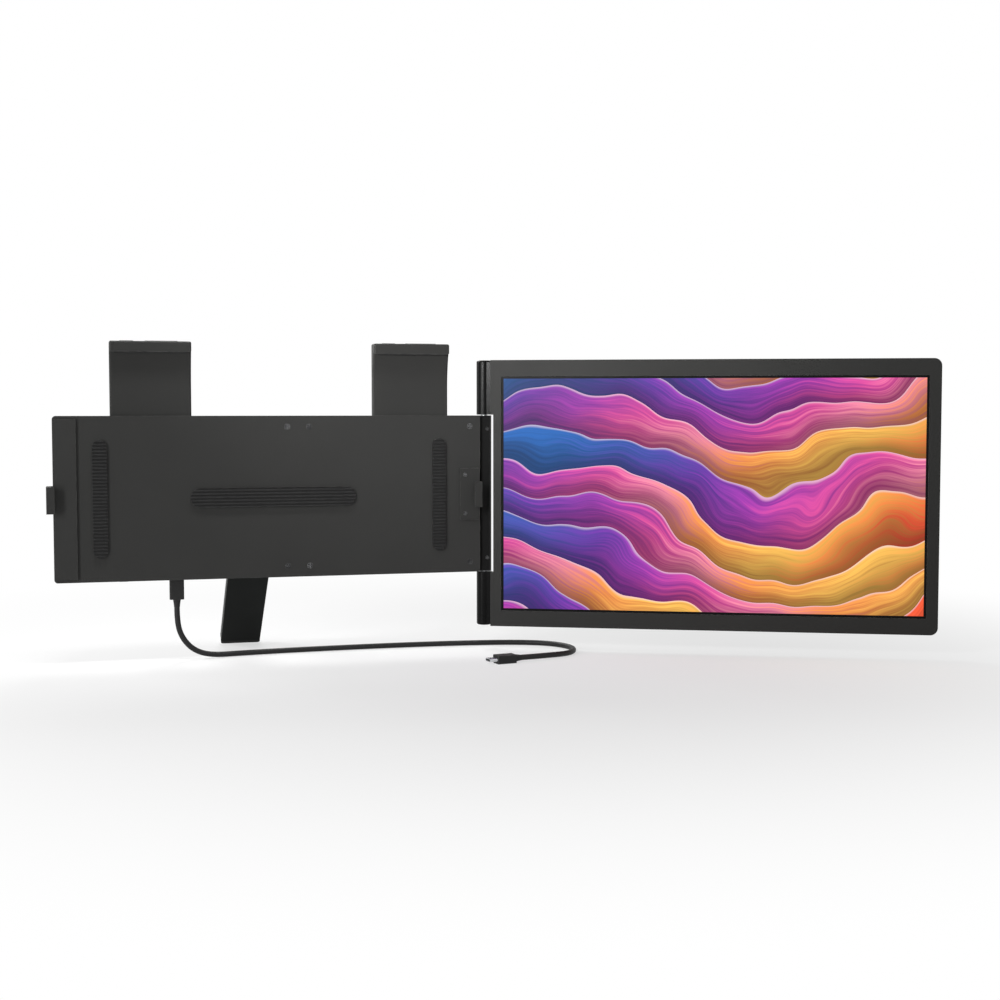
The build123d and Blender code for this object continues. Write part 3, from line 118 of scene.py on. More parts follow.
# %% [markdown]
# The rubber pads on the bracket's front have fine ribs, moulded in for grip. A bump could draw them, but
# then the exported shape would be flat. So each pad is copied, planes slice the copy at close, even
# heights, and the points of its front move in by a wave. The crests stay where the solid's face is.

# %% A helper for ribs
rib_pitch = 0.0024
rib_depth = 0.0005
slices_per_rib = 6
same_face = 0.00001


def cut_ribs(shape):
    """Slices a shape at even heights and moves its front in by a wave."""
    step = rib_pitch / slices_per_rib
    heights = [corner.co.z for corner in shape.verts]
    for index in range(math.ceil(min(heights) / step), math.floor(max(heights) / step) + 1):
        everything = shape.verts[:] + shape.edges[:] + shape.faces[:]
        bmesh.ops.bisect_plane(shape, geom=everything, plane_co=(0, 0, index * step), plane_no=(0, 0, 1))
    front = min(corner.co.y for corner in shape.verts)
    for corner in shape.verts:
        if corner.co.y < front + same_face:
            corner.co.y += rib_depth * (0.5 - 0.5 * math.cos(2 * math.pi * corner.co.z / rib_pitch))


print("ribs every", rib_pitch, "metres,", rib_depth, "deep")

# %% Cut the ribs into the pads
def ribbed_pad(name, solid):
    """A copy of a pad with ribs in its front, in the pad's place."""
    shape = bmesh.new()
    shape.from_mesh(nodes[solid].data)
    cut_ribs(shape)
    for face in shape.faces:
        face.smooth = False
    mesh = bpy.data.meshes.new(name)
    shape.to_mesh(mesh)
    shape.free()
    pad = bpy.data.objects.new(name, mesh)
    pad.matrix_world = nodes[solid].matrix_world
    bpy.context.scene.collection.objects.link(pad)
    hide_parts(solid)
    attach(pad, "bracket")
    print(name, "with", len(mesh.polygons), "faces")
    return pad


ribbed_pads = [
    ribbed_pad("ribbed_pad_middle", "lid_pad_middle"),
    ribbed_pad("ribbed_pads_end", "lid_pads_end"),
]

# %% [markdown]
# Finishes are built from nodes, and the same few steps come back in all of them: start a material, add a
# node with its settings, and ask whether a ray shows the surroundings to the camera. Each is a small
# helper, so that the cells below read as a list of what a finish is made of.

# %% Helpers for materials
def new_material(name):
    """An empty node material and its output."""
    material = bpy.data.materials.new(name)
    material.use_nodes = True
    material.node_tree.nodes.clear()
    output = material.node_tree.nodes.new("ShaderNodeOutputMaterial")
    return material, material.node_tree, output


def add(tree, kind, **settings):
    """A node of that kind, with its settings made."""
    node = tree.nodes.new(kind)
    for key, value in settings.items():
        setattr(node, key, value)
    return node


def see_directly(tree):
    """A value of 1 for rays that show the surroundings to the camera, straight or in gloss and glass."""
    path = add(tree, "ShaderNodeLightPath")
    first = add(tree, "ShaderNodeMath", operation="MAXIMUM")
    both = add(tree, "ShaderNodeMath", operation="MAXIMUM")
    tree.links.new(path.outputs["Is Camera Ray"], first.inputs[0])
    tree.links.new(path.outputs["Is Glossy Ray"], first.inputs[1])
    tree.links.new(first.outputs[0], both.inputs[0])
    tree.links.new(path.outputs["Is Transmission Ray"], both.inputs[1])
    return both.outputs[0]


print("helpers ready:", new_material.__name__, add.__name__, see_directly.__name__)

# %% [markdown]
# The table is a plain pale sheet. A product photograph fades to pure white, which more light could only
# reach by burning out the object. So the sheet turns to plain white for the camera away from the object, by
# its distance from the middle, and stays an ordinary pale surface near it, where the shadow falls.

# %% Mix the table's finish
sheet_white = 0.86
fade_middle = (0.15, -0.02, table_height)
fade_start = 0.15
fade_end = 0.65
white_near = 0.6
table_finish, tree, output = new_material("pale_table")
sheet = add(tree, "ShaderNodeBsdfDiffuse")
sheet.inputs["Color"].default_value = (sheet_white, sheet_white, sheet_white, 1)
white = add(tree, "ShaderNodeEmission")
place = add(tree, "ShaderNodeNewGeometry")
distance = add(tree, "ShaderNodeVectorMath", operation="DISTANCE")
distance.inputs[1].default_value = fade_middle
fade = add(tree, "ShaderNodeMapRange", interpolation_type="SMOOTHSTEP")
fade.inputs["From Min"].default_value = fade_start
fade.inputs["From Max"].default_value = fade_end
fade.inputs["To Min"].default_value = white_near
factor = add(tree, "ShaderNodeMath", operation="MULTIPLY")
blend = add(tree, "ShaderNodeMixShader")
tree.links.new(place.outputs["Position"], distance.inputs[0])
tree.links.new(distance.outputs["Value"], fade.inputs["Value"])
tree.links.new(fade.outputs["Result"], factor.inputs[0])
tree.links.new(see_directly(tree), factor.inputs[1])
tree.links.new(factor.outputs[0], blend.inputs["Fac"])
tree.links.new(sheet.outputs[0], blend.inputs[1])
tree.links.new(white.outputs[0], blend.inputs[2])
tree.links.new(blend.outputs[0], output.inputs["Surface"])
print("table finish fades to white from", fade_start, "to", fade_end, "metres")

# %% Spread the table
table_reach = 30.0
table_drop = 0.0002
table_mesh = bpy.data.meshes.new("table")
shape = bmesh.new()
bmesh.ops.create_grid(shape, x_segments=8, y_segments=8, size=table_reach)
shape.to_mesh(table_mesh)
shape.free()
table_mesh.materials.append(table_finish)
table = bpy.data.objects.new("table", table_mesh)
table.location.z = table_height - table_drop
bpy.context.scene.collection.objects.link(table)
print("table at", round(table.location.z, 4))

# %% [markdown]
# Round the table lies a white room. A dome of light would be the easy way, but it would lift every dark
# face to grey. So the room is white only where it is seen, straight or in gloss and glass, and lights the
# object weakly.

# %% Set the white surroundings
room_light = 0.05
world = bpy.data.worlds.new("white_room")
world.use_nodes = True
bpy.context.scene.world = world
room = world.node_tree
room.nodes.clear()
room_output = add(room, "ShaderNodeOutputWorld")
background = add(room, "ShaderNodeBackground")
background.inputs["Color"].default_value = (1, 1, 1, 1)
level = add(room, "ShaderNodeMapRange")
level.inputs["To Min"].default_value = room_light
level.inputs["To Max"].default_value = 1.0
room.links.new(see_directly(room), level.inputs["Value"])
room.links.new(level.outputs["Result"], background.inputs["Strength"])
room.links.new(background.outputs[0], room_output.inputs["Surface"])
bpy.context.scene.view_settings.view_transform = "Standard"
print("white room that lights at", room_light)

# %% [markdown]
# Five soft boxes light the object, as in a studio. The key stands in front on the left, with a grid that
# narrows its light, and points over the screen's corner by the hinge, so the frame runs from light at that
# corner to dark at the opposite one. A narrow box above the bracket grazes its front, which brings out the
# ribs of the pads. A tall strip on the left draws a soft upright line on the round hinge. Behind, one lamp
# grazes the bracket's back from its far end, and a small one hangs over the hinge. The room's own light
# fills the shadows.

# %% Hang the soft boxes
def soft_box(name, place, aim, width, height, power, spread=180):
    """A rectangular lamp that faces its aim, with a spread of light in degrees."""
    lamp = bpy.data.lights.new(name, "AREA")
    lamp.shape = "RECTANGLE"
    lamp.size = width
    lamp.size_y = height
    lamp.energy = power
    lamp.spread = math.radians(spread)
    holder = bpy.data.objects.new(name, lamp)
    holder.location = place
    holder.rotation_euler = (Vector(aim) - Vector(place)).to_track_quat("-Z", "Y").to_euler()
    bpy.context.scene.collection.objects.link(holder)
    print(name, "at", place, "with", power, "watts")


soft_box("key_box", (-0.155, -0.447, 0.174), (0.273, -0.039, 0.17), 0.12, 0.12, 0.64, 76)
soft_box("top_box", (-0.06, -0.13, 0.42), (-0.05, 0, 0), 0.32, 0.06, 0.17, 52)
soft_box("side_box", (-0.81, -0.70, 0.05), (0.16, 0, 0), 0.2, 0.8, 8.2)
soft_box("rim_box", (-0.75, 0.35, 0.4), (0, 0, 0), 0.4, 0.4, 5.0)
soft_box("back_box", (0.05, 0.45, 0.42), (0.2, 0, 0), 0.3, 0.2, 2.4)

# %% [markdown]
# Four effects come back in many finishes, so each is a node group that is built once: the fine grain of a
# mould, the wear that polishes sharp edges together with a painted highlight along them, the dust that
# settles on upward faces, and the faint marks that hands leave. A group only puts out masks and heights.
# The shader itself stays in each material.

# %% Helpers for the groups
def new_group(name, inputs, outputs):
    """A shader node group with named sockets and their starting values."""
    group = bpy.data.node_groups.new(name, "ShaderNodeTree")
    for label, value in inputs.items():
        socket = group.interface.new_socket(label, in_out="INPUT", socket_type="NodeSocketFloat")
        socket.default_value = value
    for label in outputs:
        group.interface.new_socket(label, in_out="OUTPUT", socket_type="NodeSocketFloat")
    return group, group.nodes.new("NodeGroupInput"), group.nodes.new("NodeGroupOutput")


def place_group(tree, group, **values):
    """A copy of a group in a material, with its own values."""
    node = add(tree, "ShaderNodeGroup", node_tree=group)
    for label, value in values.items():
        node.inputs[label.replace("_", " ")].default_value = value
    return node


print("helpers ready:", new_group.__name__, place_group.__name__)

# %% [markdown]
# In groups and materials alike, values flow from node to node. Nearly all of it is a sum or product, a
# noise, or a smooth step from one value to another. With a helper for each, a formula takes one line and
# not four.

# %% A helper for sums and products
def number(tree, operation, first, second=None, third=None):
    """A Math node fed by sockets or plain numbers."""
    node = add(tree, "ShaderNodeMath", operation=operation)
    for socket, value in zip(node.inputs, (first, second, third)):
        if value is None:
            continue
        if isinstance(value, (int, float)):
            socket.default_value = value
        else:
            tree.links.new(value, socket)
    return node.outputs[0]


print("helper ready:", number.__name__)

# %% A helper for noise
def noise(tree, scale, detail=2.0, rough=0.5, where=None):
    """A noise value in the object's own coordinates, or in those given."""
    node = add(tree, "ShaderNodeTexNoise")
    node.inputs["Detail"].default_value = detail
    node.inputs["Roughness"].default_value = rough
    if where is None:
        where = add(tree, "ShaderNodeTexCoord").outputs["Object"]
    tree.links.new(where, node.inputs["Vector"])
    if isinstance(scale, (int, float)):
        node.inputs["Scale"].default_value = scale
    else:
        tree.links.new(scale, node.inputs["Scale"])
    return node.outputs["Fac"]


print("helper ready:", noise.__name__)

# %% A helper for smooth steps
def ramp(tree, value, low, high, start=0.0, end=1.0):
    """A smooth step of a value from low to high."""
    node = add(tree, "ShaderNodeMapRange", interpolation_type="SMOOTHSTEP")
    for label, setting in (("From Min", low), ("From Max", high), ("To Min", start), ("To Max", end)):
        if isinstance(setting, (int, float)):
            node.inputs[label].default_value = setting
        else:
            tree.links.new(setting, node.inputs[label])
    tree.links.new(value, node.inputs["Value"])
    return node.outputs["Result"]


print("helper ready:", ramp.__name__)

# %% [markdown]
# A moulded shell takes the etched skin of its mould: small soft cells with finer roughness in between, and
# a tone that drifts a little from place to place. A picture of such a skin would repeat, so cells and noise
# build it, and their scale is given in grains per metre, which makes it the same on small pieces and large
# ones.

# %% The grain of a mould
mould_grain, given, result = new_group("mould_grain", {"Grains per metre": 2600.0, "Patchiness": 0.3},
                                       ["Height", "Tone"])
cells = add(mould_grain, "ShaderNodeTexVoronoi", feature="SMOOTH_F1")
cells.inputs["Smoothness"].default_value = 0.7
spot = add(mould_grain, "ShaderNodeTexCoord")
mould_grain.links.new(spot.outputs["Object"], cells.inputs["Vector"])
mould_grain.links.new(given.outputs["Grains per metre"], cells.inputs["Scale"])
fine = noise(mould_grain, given.outputs["Grains per metre"], 3.0, 0.6)
height = number(mould_grain, "ADD", number(mould_grain, "MULTIPLY", cells.outputs["Distance"], 0.7), fine)
patches = number(mould_grain, "SUBTRACT", noise(mould_grain, 14.0, 3.0), 0.5)
mould_grain.links.new(height, result.inputs["Height"])
tone = number(mould_grain, "MULTIPLY_ADD", patches, given.outputs["Patchiness"], 1.0)
speckle = number(mould_grain, "SUBTRACT", fine, 0.5)
mould_grain.links.new(number(mould_grain, "MULTIPLY_ADD", speckle, 0.12, tone), result.inputs["Tone"])
print("group", mould_grain.name, "with", len(mould_grain.nodes), "nodes")

# %% [markdown]
# Hands and bags polish the edges first. The lighter colour along an edge is partly that wear and partly a
# painted highlight, the light that a rounded edge catches. The Bevel node gives the normal that a slightly
# rounder edge would have, and where that differs from the true normal there is an edge. Noise breaks the
# line up, so that it looks worn and not drawn.

# %% Wear and a painted highlight along the edges
edge_wear_and_highlight, given, result = new_group("edge_wear_and_highlight", {"Width": 0.0006, "Amount": 0.6}, ["Worn"])
rounder = add(edge_wear_and_highlight, "ShaderNodeBevel", samples=6)
edge_wear_and_highlight.links.new(given.outputs["Width"], rounder.inputs["Radius"])
surface = add(edge_wear_and_highlight, "ShaderNodeNewGeometry")
agree = add(edge_wear_and_highlight, "ShaderNodeVectorMath", operation="DOT_PRODUCT")
edge_wear_and_highlight.links.new(rounder.outputs["Normal"], agree.inputs[0])
edge_wear_and_highlight.links.new(surface.outputs["Normal"], agree.inputs[1])
edge = ramp(edge_wear_and_highlight, agree.outputs["Value"], 0.995, 0.86, 0.0, 1.0)
broken = ramp(edge_wear_and_highlight, noise(edge_wear_and_highlight, 160.0, 4.0, 0.6), 0.35, 0.62)
# The mask of the lighter edge: partly wear, partly a painted highlight where a rounded edge catches light.
worn_and_highlit_edge = number(edge_wear_and_highlight, "MULTIPLY", number(edge_wear_and_highlight, "MULTIPLY", edge, broken), given.outputs["Amount"])
edge_wear_and_highlight.links.new(worn_and_highlit_edge, result.inputs["Worn"])
print("group", edge_wear_and_highlight.name, "with", len(edge_wear_and_highlight.nodes), "nodes")

# %% [markdown]
# Dust lies where a face looks up, as a thin film with specks in it. Hands leave marks that change only the
# gloss. Both could be painted by hand, but the direction of the face and a few layers of noise place them
# on any shape.

# %% Dust on upward faces
settled_dust, given, result = new_group("settled_dust", {"Amount": 0.3}, ["Dust"])
surface = add(settled_dust, "ShaderNodeNewGeometry")
split = add(settled_dust, "ShaderNodeSeparateXYZ")
settled_dust.links.new(surface.outputs["Normal"], split.inputs[0])
upward = ramp(settled_dust, split.outputs["Z"], 0.55, 1.0)
specks = ramp(settled_dust, noise(settled_dust, 900.0, 4.0, 0.7), 0.46, 0.7)
film = ramp(settled_dust, noise(settled_dust, 30.0, 3.0), 0.3, 0.75)
lying = number(settled_dust, "MULTIPLY", number(settled_dust, "MULTIPLY_ADD", specks, 0.7, film), upward)
dust = number(settled_dust, "MULTIPLY", lying, given.outputs["Amount"])
settled_dust.links.new(dust, result.inputs["Dust"])
print("group", settled_dust.name, "with", len(settled_dust.nodes), "nodes")

# %% The marks of hands
hand_marks, given, result = new_group("hand_marks", {"Amount": 0.08}, ["Shift"])
smears = noise(hand_marks, 22.0, 5.0, 0.65)
prints = noise(hand_marks, 70.0, 2.0)
both = number(hand_marks, "SUBTRACT", number(hand_marks, "ADD", smears, prints), 1.0)
hand_marks.links.new(number(hand_marks, "MULTIPLY", both, given.outputs["Amount"]), result.inputs["Shift"])
print("group", hand_marks.name, "with", len(hand_marks.nodes), "nodes")

# %% [markdown]
# Colours are written as on a paint card, because such a code can be compared with a sample. Nodes need
# linear values, so one helper turns the code into these. Two more lay one colour over another and shade a
# colour.

# %% Helpers for colours
def card_colour(hex_code):
    """A colour written as on a paint card, in the linear values that nodes use."""
    parts = [int(hex_code[place:place + 2], 16) / 255 for place in (0, 2, 4)]
    steep = [((part + 0.055) / 1.055) ** 2.4 for part in parts]
    return tuple(part / 12.92 if part <= 0.04045 else curve for part, curve in zip(parts, steep)) + (1.0,)


def mix_colour(tree, factor, first, second):
    """One colour over another by a mask."""
    node = add(tree, "ShaderNodeMix", data_type="RGBA")
    tree.links.new(factor, node.inputs["Factor"])
    for index, value in ((6, first), (7, second)):
        if isinstance(value, tuple):
            node.inputs[index].default_value = value
        else:
            tree.links.new(value, node.inputs[index])
    return node.outputs[2]


def tinted(tree, colour, tone):
    """A colour made lighter or darker by a value near 1."""
    node = add(tree, "ShaderNodeVectorMath", operation="SCALE")
    node.inputs[0].default_value = colour[:3]
    tree.links.new(tone, node.inputs["Scale"])
    return node.outputs[0]


print("charcoal on the card 333332 is", [round(part, 4) for part in card_colour("333332")[:3]])

# %% [markdown]
# Most of the object is one kind of surface: charcoal plastic or painted metal with a fine matt grain. One
# helper builds it from the four groups, and each piece then gets its own colour, grain and gloss. Constant
# values sit on the shader's own sockets. Only what changes over the surface is linked.

# %% A helper for fine relief
def emboss(tree, skin, relief, depth, strength):
    """A bump on the shader from a height, with its depth in metres."""
    bump = add(tree, "ShaderNodeBump")
    bump.inputs["Distance"].default_value = depth
    bump.inputs["Strength"].default_value = strength
    tree.links.new(relief, bump.inputs["Height"])
    tree.links.new(bump.outputs["Normal"], skin.inputs["Normal"])


print("helper ready:", emboss.__name__)

# %% A helper for matt charcoal finishes
# The colour of light edges on plastic: partly wear, partly a painted highlight.
worn_and_highlit_plastic = "6a6a68"
dust_colour = "7d7b76"
worn_polish = -0.15
dust_dulling = 0.4
grain_strength = 0.6


def matt_finish(name, colour, gloss, grains=2600.0, depth=0.00003, wear=0.5, dust=0.25, patch=0.3,
                edge_colour=worn_and_highlit_plastic, shine=0.3):
    """A grained finish with light edges, partly wear and partly painted highlight, some dust and the marks
    of hands.
    """
    material, tree, output = new_material(name)
    skin = add(tree, "ShaderNodeBsdfPrincipled")
    skin.inputs["Specular IOR Level"].default_value = shine
    grain = place_group(tree, mould_grain, Grains_per_metre=grains, Patchiness=patch)
    edges = place_group(tree, edge_wear_and_highlight, Amount=wear)
    settled = place_group(tree, settled_dust, Amount=dust)
    marks = place_group(tree, hand_marks)
    body = tinted(tree, card_colour(colour), grain.outputs["Tone"])
    # Edges turn lighter: partly wear, partly a painted highlight.
    worn_and_highlit = mix_colour(tree, edges.outputs["Worn"], body, card_colour(edge_colour))
    dusty = mix_colour(tree, settled.outputs["Dust"], worn_and_highlit, card_colour(dust_colour))
    tree.links.new(dusty, skin.inputs["Base Color"])
    rough = number(tree, "ADD", marks.outputs["Shift"], gloss)
    rough = number(tree, "MULTIPLY_ADD", edges.outputs["Worn"], worn_polish, rough)
    rough = number(tree, "MULTIPLY_ADD", settled.outputs["Dust"], dust_dulling, rough)
    tree.links.new(rough, skin.inputs["Roughness"])
    emboss(tree, skin, grain.outputs["Height"], depth, grain_strength)
    tree.links.new(skin.outputs[0], output.inputs["Surface"])
    print("finish", name, colour)
    return material


# %% [markdown]
# Each finish is named for what it covers. The shells, the frame of the screen and the clips are nearly one
# charcoal. The hinge is painted metal, darker and smoother, the leg is almost black, and the pads are soft
# rubber. They could share one material, but under the same light the real pieces differ by a shade, so each
# has its own card.

# %% Mix the matt finishes
finishes = {
    "shell": matt_finish("shell_plastic", "333332", 0.50, shine=0.14),
    "bezel": matt_finish("bezel_plastic", "353534", 0.48, dust=0.1, shine=0.07),
    "hinge_cast": matt_finish("hinge_paint", "090909", 0.26, grains=4200.0, depth=0.00001, wear=0.4,
                              dust=0.15, edge_colour="77787a", shine=0.10),
    "clip": matt_finish("clip_plastic", "313130", 0.48, shine=0.14),
    "leg": matt_finish("leg_plastic", "131514", 0.44, grains=2200.0, wear=0.2, dust=0.08, shine=0.05),
    "rubber": matt_finish("pad_rubber", "161616", 0.78, grains=1500.0, depth=0.0001, wear=0.15, dust=0.5),
    "guide_plastic": matt_finish("guide_plastic", "c9c7bf", 0.45, wear=0.1, edge_colour="e3e1da"),
    "button": matt_finish("button_plastic", "1a1a1a", 0.40, grains=3200.0, wear=0.5),
    "lead": matt_finish("lead_jacket", "131313", 0.55, grains=1800.0, wear=0.1, dust=0.2),
    "foam": matt_finish("spacer_foam", "26262a", 0.9, grains=900.0, depth=0.0002, wear=0.0, shine=0.1),
}
print("matt finishes:", len(finishes))

# %% Mix the finishes of single pieces
plug_grip = matt_finish("plug_rubber", "151515", 0.6, grains=2000.0, depth=0.00004, wear=0.3)
own_finish = {
    "barrel_front_strip": matt_finish("strip_plastic", "1b1b1b", 0.45, wear=0.3, dust=0.1, shine=0.12),
    # The screen's back is a shade lighter than the shells: partly painted light, making up for the weaker
    # light that reaches it.
    "screen_back_cover": matt_finish("screen_back_plastic", "3e3e3d", 0.52, shine=0.10),
    "lead_plug_grip": plug_grip,
    "lead_far_grip": plug_grip,
}
print("pieces with a finish of their own:", sorted(own_finish))

# %% [markdown]
# Steel shows in the screws, the shafts, the ports and the plate behind the panel. Rolled sheet has fine
# lines along one way, and turned pieces have rings. A noise that is stretched along one axis gives such
# lines for both.

# %% A helper for metals
line_depth = 0.00001
line_strength = 0.5


def metal_finish(name, colour, gloss, lines=(30.0, 900.0, 900.0), wear=0.4, edge_colour="d8d9da"):
    """Bare or plated metal with fine tool lines."""
    material, tree, output = new_material(name)
    skin = add(tree, "ShaderNodeBsdfPrincipled")
    skin.inputs["Metallic"].default_value = 1.0
    where = add(tree, "ShaderNodeMapping")
    where.inputs["Scale"].default_value = lines
    tree.links.new(add(tree, "ShaderNodeTexCoord").outputs["Object"], where.inputs["Vector"])
    drawn = noise(tree, 4.0, 3.0, 0.6, where.outputs["Vector"])
    edges = place_group(tree, edge_wear_and_highlight, Amount=wear, Width=0.0003)
    marks = place_group(tree, hand_marks, Amount=0.12)
    body = tinted(tree, card_colour(colour), ramp(tree, drawn, 0.2, 0.8, 0.85, 1.12))
    # Edges turn lighter: partly polish, partly a painted highlight.
    worn_and_highlit = mix_colour(tree, edges.outputs["Worn"], body, card_colour(edge_colour))
    tree.links.new(worn_and_highlit, skin.inputs["Base Color"])
    rubbed = ramp(tree, drawn, 0.2, 0.8, gloss - 0.06, gloss + 0.08)
    tree.links.new(number(tree, "ADD", marks.outputs["Shift"], rubbed), skin.inputs["Roughness"])
    emboss(tree, skin, drawn, line_depth, line_strength)
    tree.links.new(skin.outputs[0], output.inputs["Surface"])
    print("finish", name, colour)
    return material


# %% Mix the metals
finishes["sheet_steel"] = metal_finish("sheet_steel", "a9abad", 0.36)
finishes["bright_steel"] = metal_finish("bright_steel", "c6c8ca", 0.24, (200.0, 200.0, 1400.0))
screw_lines = (900.0, 60.0, 900.0)
# The light edges at full strength draw a bright ring round each screw head: partly wear, partly a painted
# highlight.
finishes["dark_screws"] = metal_finish("blackened_steel", "333334", 0.34, screw_lines, 1.0, "b4b5b7")
own_finish["leg_screws"] = metal_finish("leg_screw_black", "0c0c0d", 0.45, screw_lines, 0.3, "2a2a2b")
print("finishes so far:", len(finishes), "and of single pieces:", len(own_finish))

# %% [markdown]
# Inside there is a green board with a faint web of tracks, a milky sheet that spreads the light behind the
# glass, and flat grey wires. They hardly show, but the model can be opened, so they get their own finishes.

# %% Mix the board's lacquer
board, tree, output = new_material("board_lacquer")
skin = add(tree, "ShaderNodeBsdfPrincipled")
tracks = add(tree, "ShaderNodeTexBrick")
tracks.inputs["Scale"].default_value = 420.0
tracks.inputs["Mortar Size"].default_value = 0.012
flat = add(tree, "ShaderNodeMapping")
flat.inputs["Rotation"].default_value = (math.radians(90), 0, 0)
tree.links.new(add(tree, "ShaderNodeTexCoord").outputs["Object"], flat.inputs["Vector"])
tree.links.new(flat.outputs["Vector"], tracks.inputs["Vector"])
grain = place_group(tree, mould_grain, Patchiness=0.4)
green = tinted(tree, card_colour("12512f"), grain.outputs["Tone"])
lacquer = mix_colour(tree, tracks.outputs["Fac"], green, card_colour("2c7a4c"))
tree.links.new(lacquer, skin.inputs["Base Color"])
marks = place_group(tree, hand_marks)
tree.links.new(number(tree, "ADD", marks.outputs["Shift"], 0.3), skin.inputs["Roughness"])
tree.links.new(skin.outputs[0], output.inputs["Surface"])
finishes["board"] = board
print("board lacquer with", len(tree.nodes), "nodes")

# %% Mix the other finishes inside
finishes["light_guide"] = matt_finish("light_guide_sheet", "dfe3e6", 0.35, depth=0.00001, wear=0.1,
                                      edge_colour="ffffff")
finishes["wire"] = matt_finish("wire_jacket", "3c3f44", 0.45, grains=1800.0, wear=0.1)
print("finishes so far:", sorted(finishes))

# %% [markdown]
# The lit picture is what the eye finds first. It is a design of its own: long dunes of colour that roll
# across the panel, violet and blue at one side and orange at the other. A picture file could be shown
# instead, but this one needs no file and stays sharp at any size. Two position values run along and up the
# panel. They come from the piece's own coordinates, so the picture turns with the screen.

# %% Find the panel's own directions
turned_in = math.radians(24)
hinge_line = Vector((0.1605, 0.011, 0))
along_panel = Vector((math.cos(turned_in), -math.sin(turned_in), 0))
# The lit picture is half a millimetre smaller on each side than the opening; the dark line left round it is
# a painted shadow of the frame's inner wall.
lit_size = (0.3089, 0.1733)
lit_middle = (0.17085, -0.0001)
reach = [(corner.co - hinge_line).dot(along_panel) for corner in nodes["lcd_panel"].data.vertices]
print("glass runs from", round(min(reach), 4), "to", round(max(reach), 4), "from the hinge")

# %% Give the picture its places
glass_shine = 0.08
picture_level = 0.95
wide_to_high = 1.78
lit, tree, output = new_material("lit_panel")
skin = add(tree, "ShaderNodeBsdfPrincipled")
skin.inputs["Base Color"].default_value = card_colour("0a0a0b")
skin.inputs["Specular IOR Level"].default_value = glass_shine
skin.inputs["Emission Strength"].default_value = picture_level
offset = add(tree, "ShaderNodeVectorMath", operation="SUBTRACT")
offset.inputs[1].default_value = hinge_line
tree.links.new(add(tree, "ShaderNodeTexCoord").outputs["Object"], offset.inputs[0])
dot = add(tree, "ShaderNodeVectorMath", operation="DOT_PRODUCT")
dot.inputs[1].default_value = along_panel
tree.links.new(offset.outputs[0], dot.inputs[0])
split = add(tree, "ShaderNodeSeparateXYZ")
tree.links.new(offset.outputs[0], split.inputs[0])
across = number(tree, "DIVIDE", number(tree, "SUBTRACT", dot.outputs["Value"], lit_middle[0]), lit_size[0])
upward = number(tree, "DIVIDE", number(tree, "SUBTRACT", split.outputs["Z"], lit_middle[1]), lit_size[1])
sheet_place = add(tree, "ShaderNodeCombineXYZ")
tree.links.new(number(tree, "MULTIPLY", across, wide_to_high), sheet_place.inputs["X"])
tree.links.new(upward, sheet_place.inputs["Y"])
print("picture places with", len(tree.nodes), "nodes")

# %% [markdown]
# A dune has a long slope and a sharp crest. The fraction of a rising value does just that: it climbs from 0
# to 1 and drops back. So the upward value is bent by two sines and a little noise, multiplied by the number
# of dunes and cut into fractions, and its whole part says which dune it is.

# %% Roll the dunes
long_bend = 0.17
short_bend = 0.05
chance_bend = 0.55
dunes_high = 6.5
bend = noise(tree, 1.6, 2.0, 0.45, sheet_place.outputs[0])
long_wave = number(tree, "SINE", number(tree, "MULTIPLY_ADD", across, 5.2, 0.7))
tilt = number(tree, "MULTIPLY", upward, 4.0)
short_wave = number(tree, "SINE", number(tree, "MULTIPLY_ADD", across, 11.5, tilt))
rise = number(tree, "MULTIPLY_ADD", long_wave, long_bend, upward)
rise = number(tree, "MULTIPLY_ADD", short_wave, short_bend, rise)
rise = number(tree, "MULTIPLY_ADD", bend, chance_bend, rise)
dunes = number(tree, "MULTIPLY", rise, dunes_high)
slope = number(tree, "FRACT", dunes)
which = number(tree, "FLOOR", dunes)
print("picture has", len(tree.nodes), "nodes so far")

# %% [markdown]
# Wind draws fine streaks along a dune. A noise whose place runs slowly along the panel and fast across the
# dunes gives them. The hue follows the place on the panel, with a jump from dune to dune, so that
# neighbours differ. A colour ramp then turns the hue into paint, the slope shades it, and a pale line marks
# each crest.

# %% Streak the dunes and choose their hue
streaks_long = 2.2
streaks_high = 46.0
hue_along = 0.62
hue_down = -0.30
hue_jump = 0.22
hue_streak = 0.30
streak_place = add(tree, "ShaderNodeCombineXYZ")
tree.links.new(number(tree, "MULTIPLY", across, streaks_long), streak_place.inputs["X"])
tree.links.new(number(tree, "MULTIPLY", rise, streaks_high), streak_place.inputs["Y"])
tree.links.new(which, streak_place.inputs["Z"])
streaks = noise(tree, 1.5, 4.0, 0.65, streak_place.outputs[0])
jump = number(tree, "SINE", number(tree, "MULTIPLY", which, 2.4))
hue = number(tree, "MULTIPLY_ADD", across, hue_along, 0.5)
hue = number(tree, "MULTIPLY_ADD", upward, hue_down, hue)
hue = number(tree, "MULTIPLY_ADD", jump, hue_jump, hue)
hue = number(tree, "MULTIPLY_ADD", number(tree, "SUBTRACT", streaks, 0.5), hue_streak, hue)
print("hue and streaks with", len(tree.nodes), "nodes")

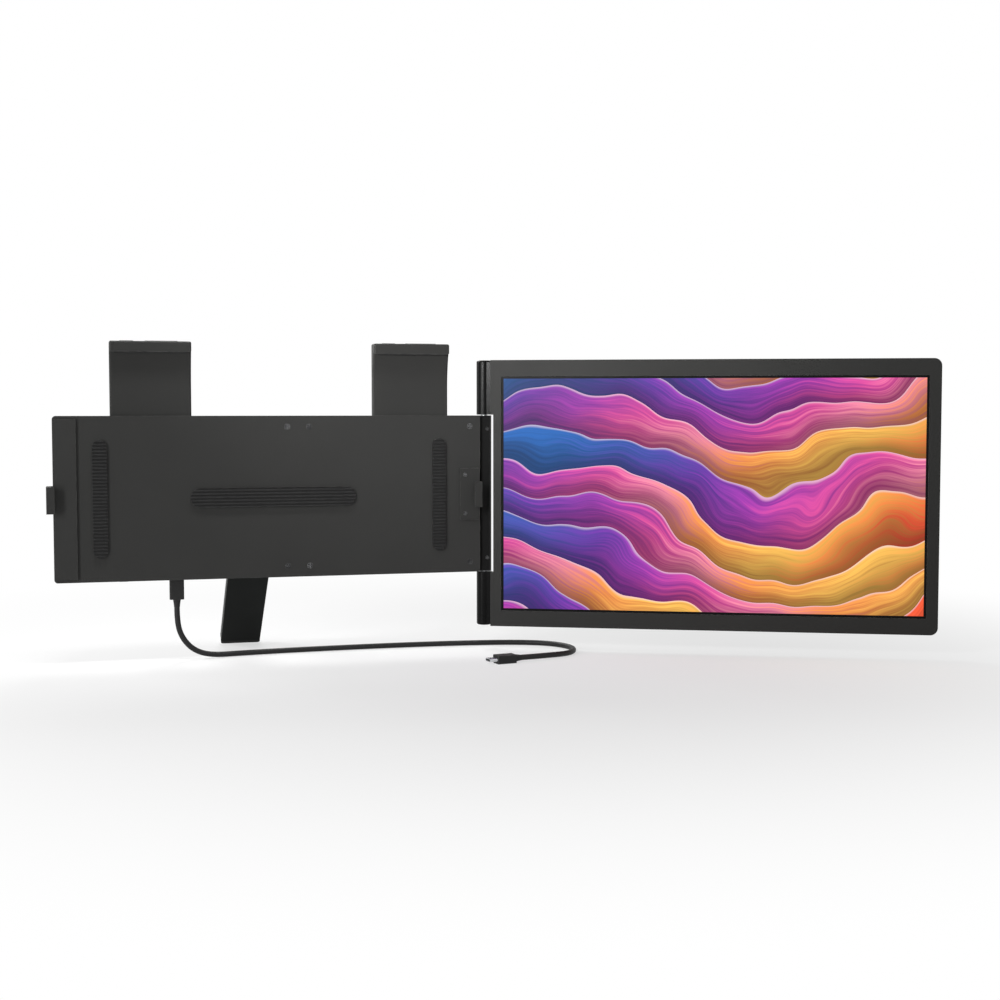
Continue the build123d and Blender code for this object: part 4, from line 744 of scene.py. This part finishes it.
# %% Colour the dunes
paint = add(tree, "ShaderNodeValToRGB")
colours = [(0.0, "2465b4"), (0.12, "4f56b8"), (0.24, "6d3cab"), (0.36, "a63db0"), (0.48, "e0509f"),
           (0.58, "f48ba6"), (0.68, "f5934e"), (0.82, "ffc45c"), (1.0, "ee5a38")]
for index, (stop, code) in enumerate(colours):
    mark = paint.color_ramp.elements[index] if index < 2 else paint.color_ramp.elements.new(stop)
    mark.position = stop
    mark.color = card_colour(code)
tree.links.new(hue, paint.inputs["Fac"])
rising = ramp(tree, slope, 0.0, 0.95, 0.42, 1.12)
streaked = ramp(tree, streaks, 0.25, 0.75, 0.72, 1.2)
shade = number(tree, "MULTIPLY", rising, streaked)
lit_colour = add(tree, "ShaderNodeVectorMath", operation="SCALE")
tree.links.new(paint.outputs["Color"], lit_colour.inputs[0])
tree.links.new(shade, lit_colour.inputs["Scale"])
crest = ramp(tree, slope, 0.93, 1.0, 0.0, 0.55)
crowned = mix_colour(tree, crest, lit_colour.outputs[0], card_colour("ffe9f2"))
print("dunes in", len(colours), "colours")

# %% [markdown]
# Between the lit picture and the frame lies a thin dark line, a painted shadow of the frame's inner wall. A
# black border of its own would need another piece, so the picture just stops half a millimetre inside the
# opening. The glass is matt, with little gloss, because a bright room in it would veil the colours.

# %% Frame the picture and light it
glass_roughness = 0.42
# Outside the lit area the glass gives no light: a painted shadow along the frame's inner wall.
inside = number(tree, "MULTIPLY", number(tree, "LESS_THAN", number(tree, "ABSOLUTE", across), 0.5),
                number(tree, "LESS_THAN", number(tree, "ABSOLUTE", upward), 0.5))
picture = mix_colour(tree, inside, card_colour("000000"), crowned)
tree.links.new(picture, skin.inputs["Emission Color"])
marks = place_group(tree, hand_marks)
tree.links.new(number(tree, "ADD", marks.outputs["Shift"], glass_roughness), skin.inputs["Roughness"])
tree.links.new(skin.outputs[0], output.inputs["Surface"])
finishes["display"] = lit
print("picture painted with", len(tree.nodes), "nodes")

# %% [markdown]
# On the real object each piece is moulded, painted or plated before it is fitted. The record of the solid
# model says which finish a piece takes, so the dressing is one loop and not sixty lines. A few pieces have
# a finish of their own.

# %% Dress every piece
for piece in frame["record"]["subparts"]:
    body = nodes[piece["node"]]
    if not body.material_slots:
        body.data.materials.append(None)
    for slot in body.material_slots:
        slot.material = own_finish.get(piece["node"], finishes[piece["material_slot"]])
lead_curve.materials.append(finishes["lead"])
for pad in ribbed_pads:
    pad.data.materials.append(finishes["rubber"])
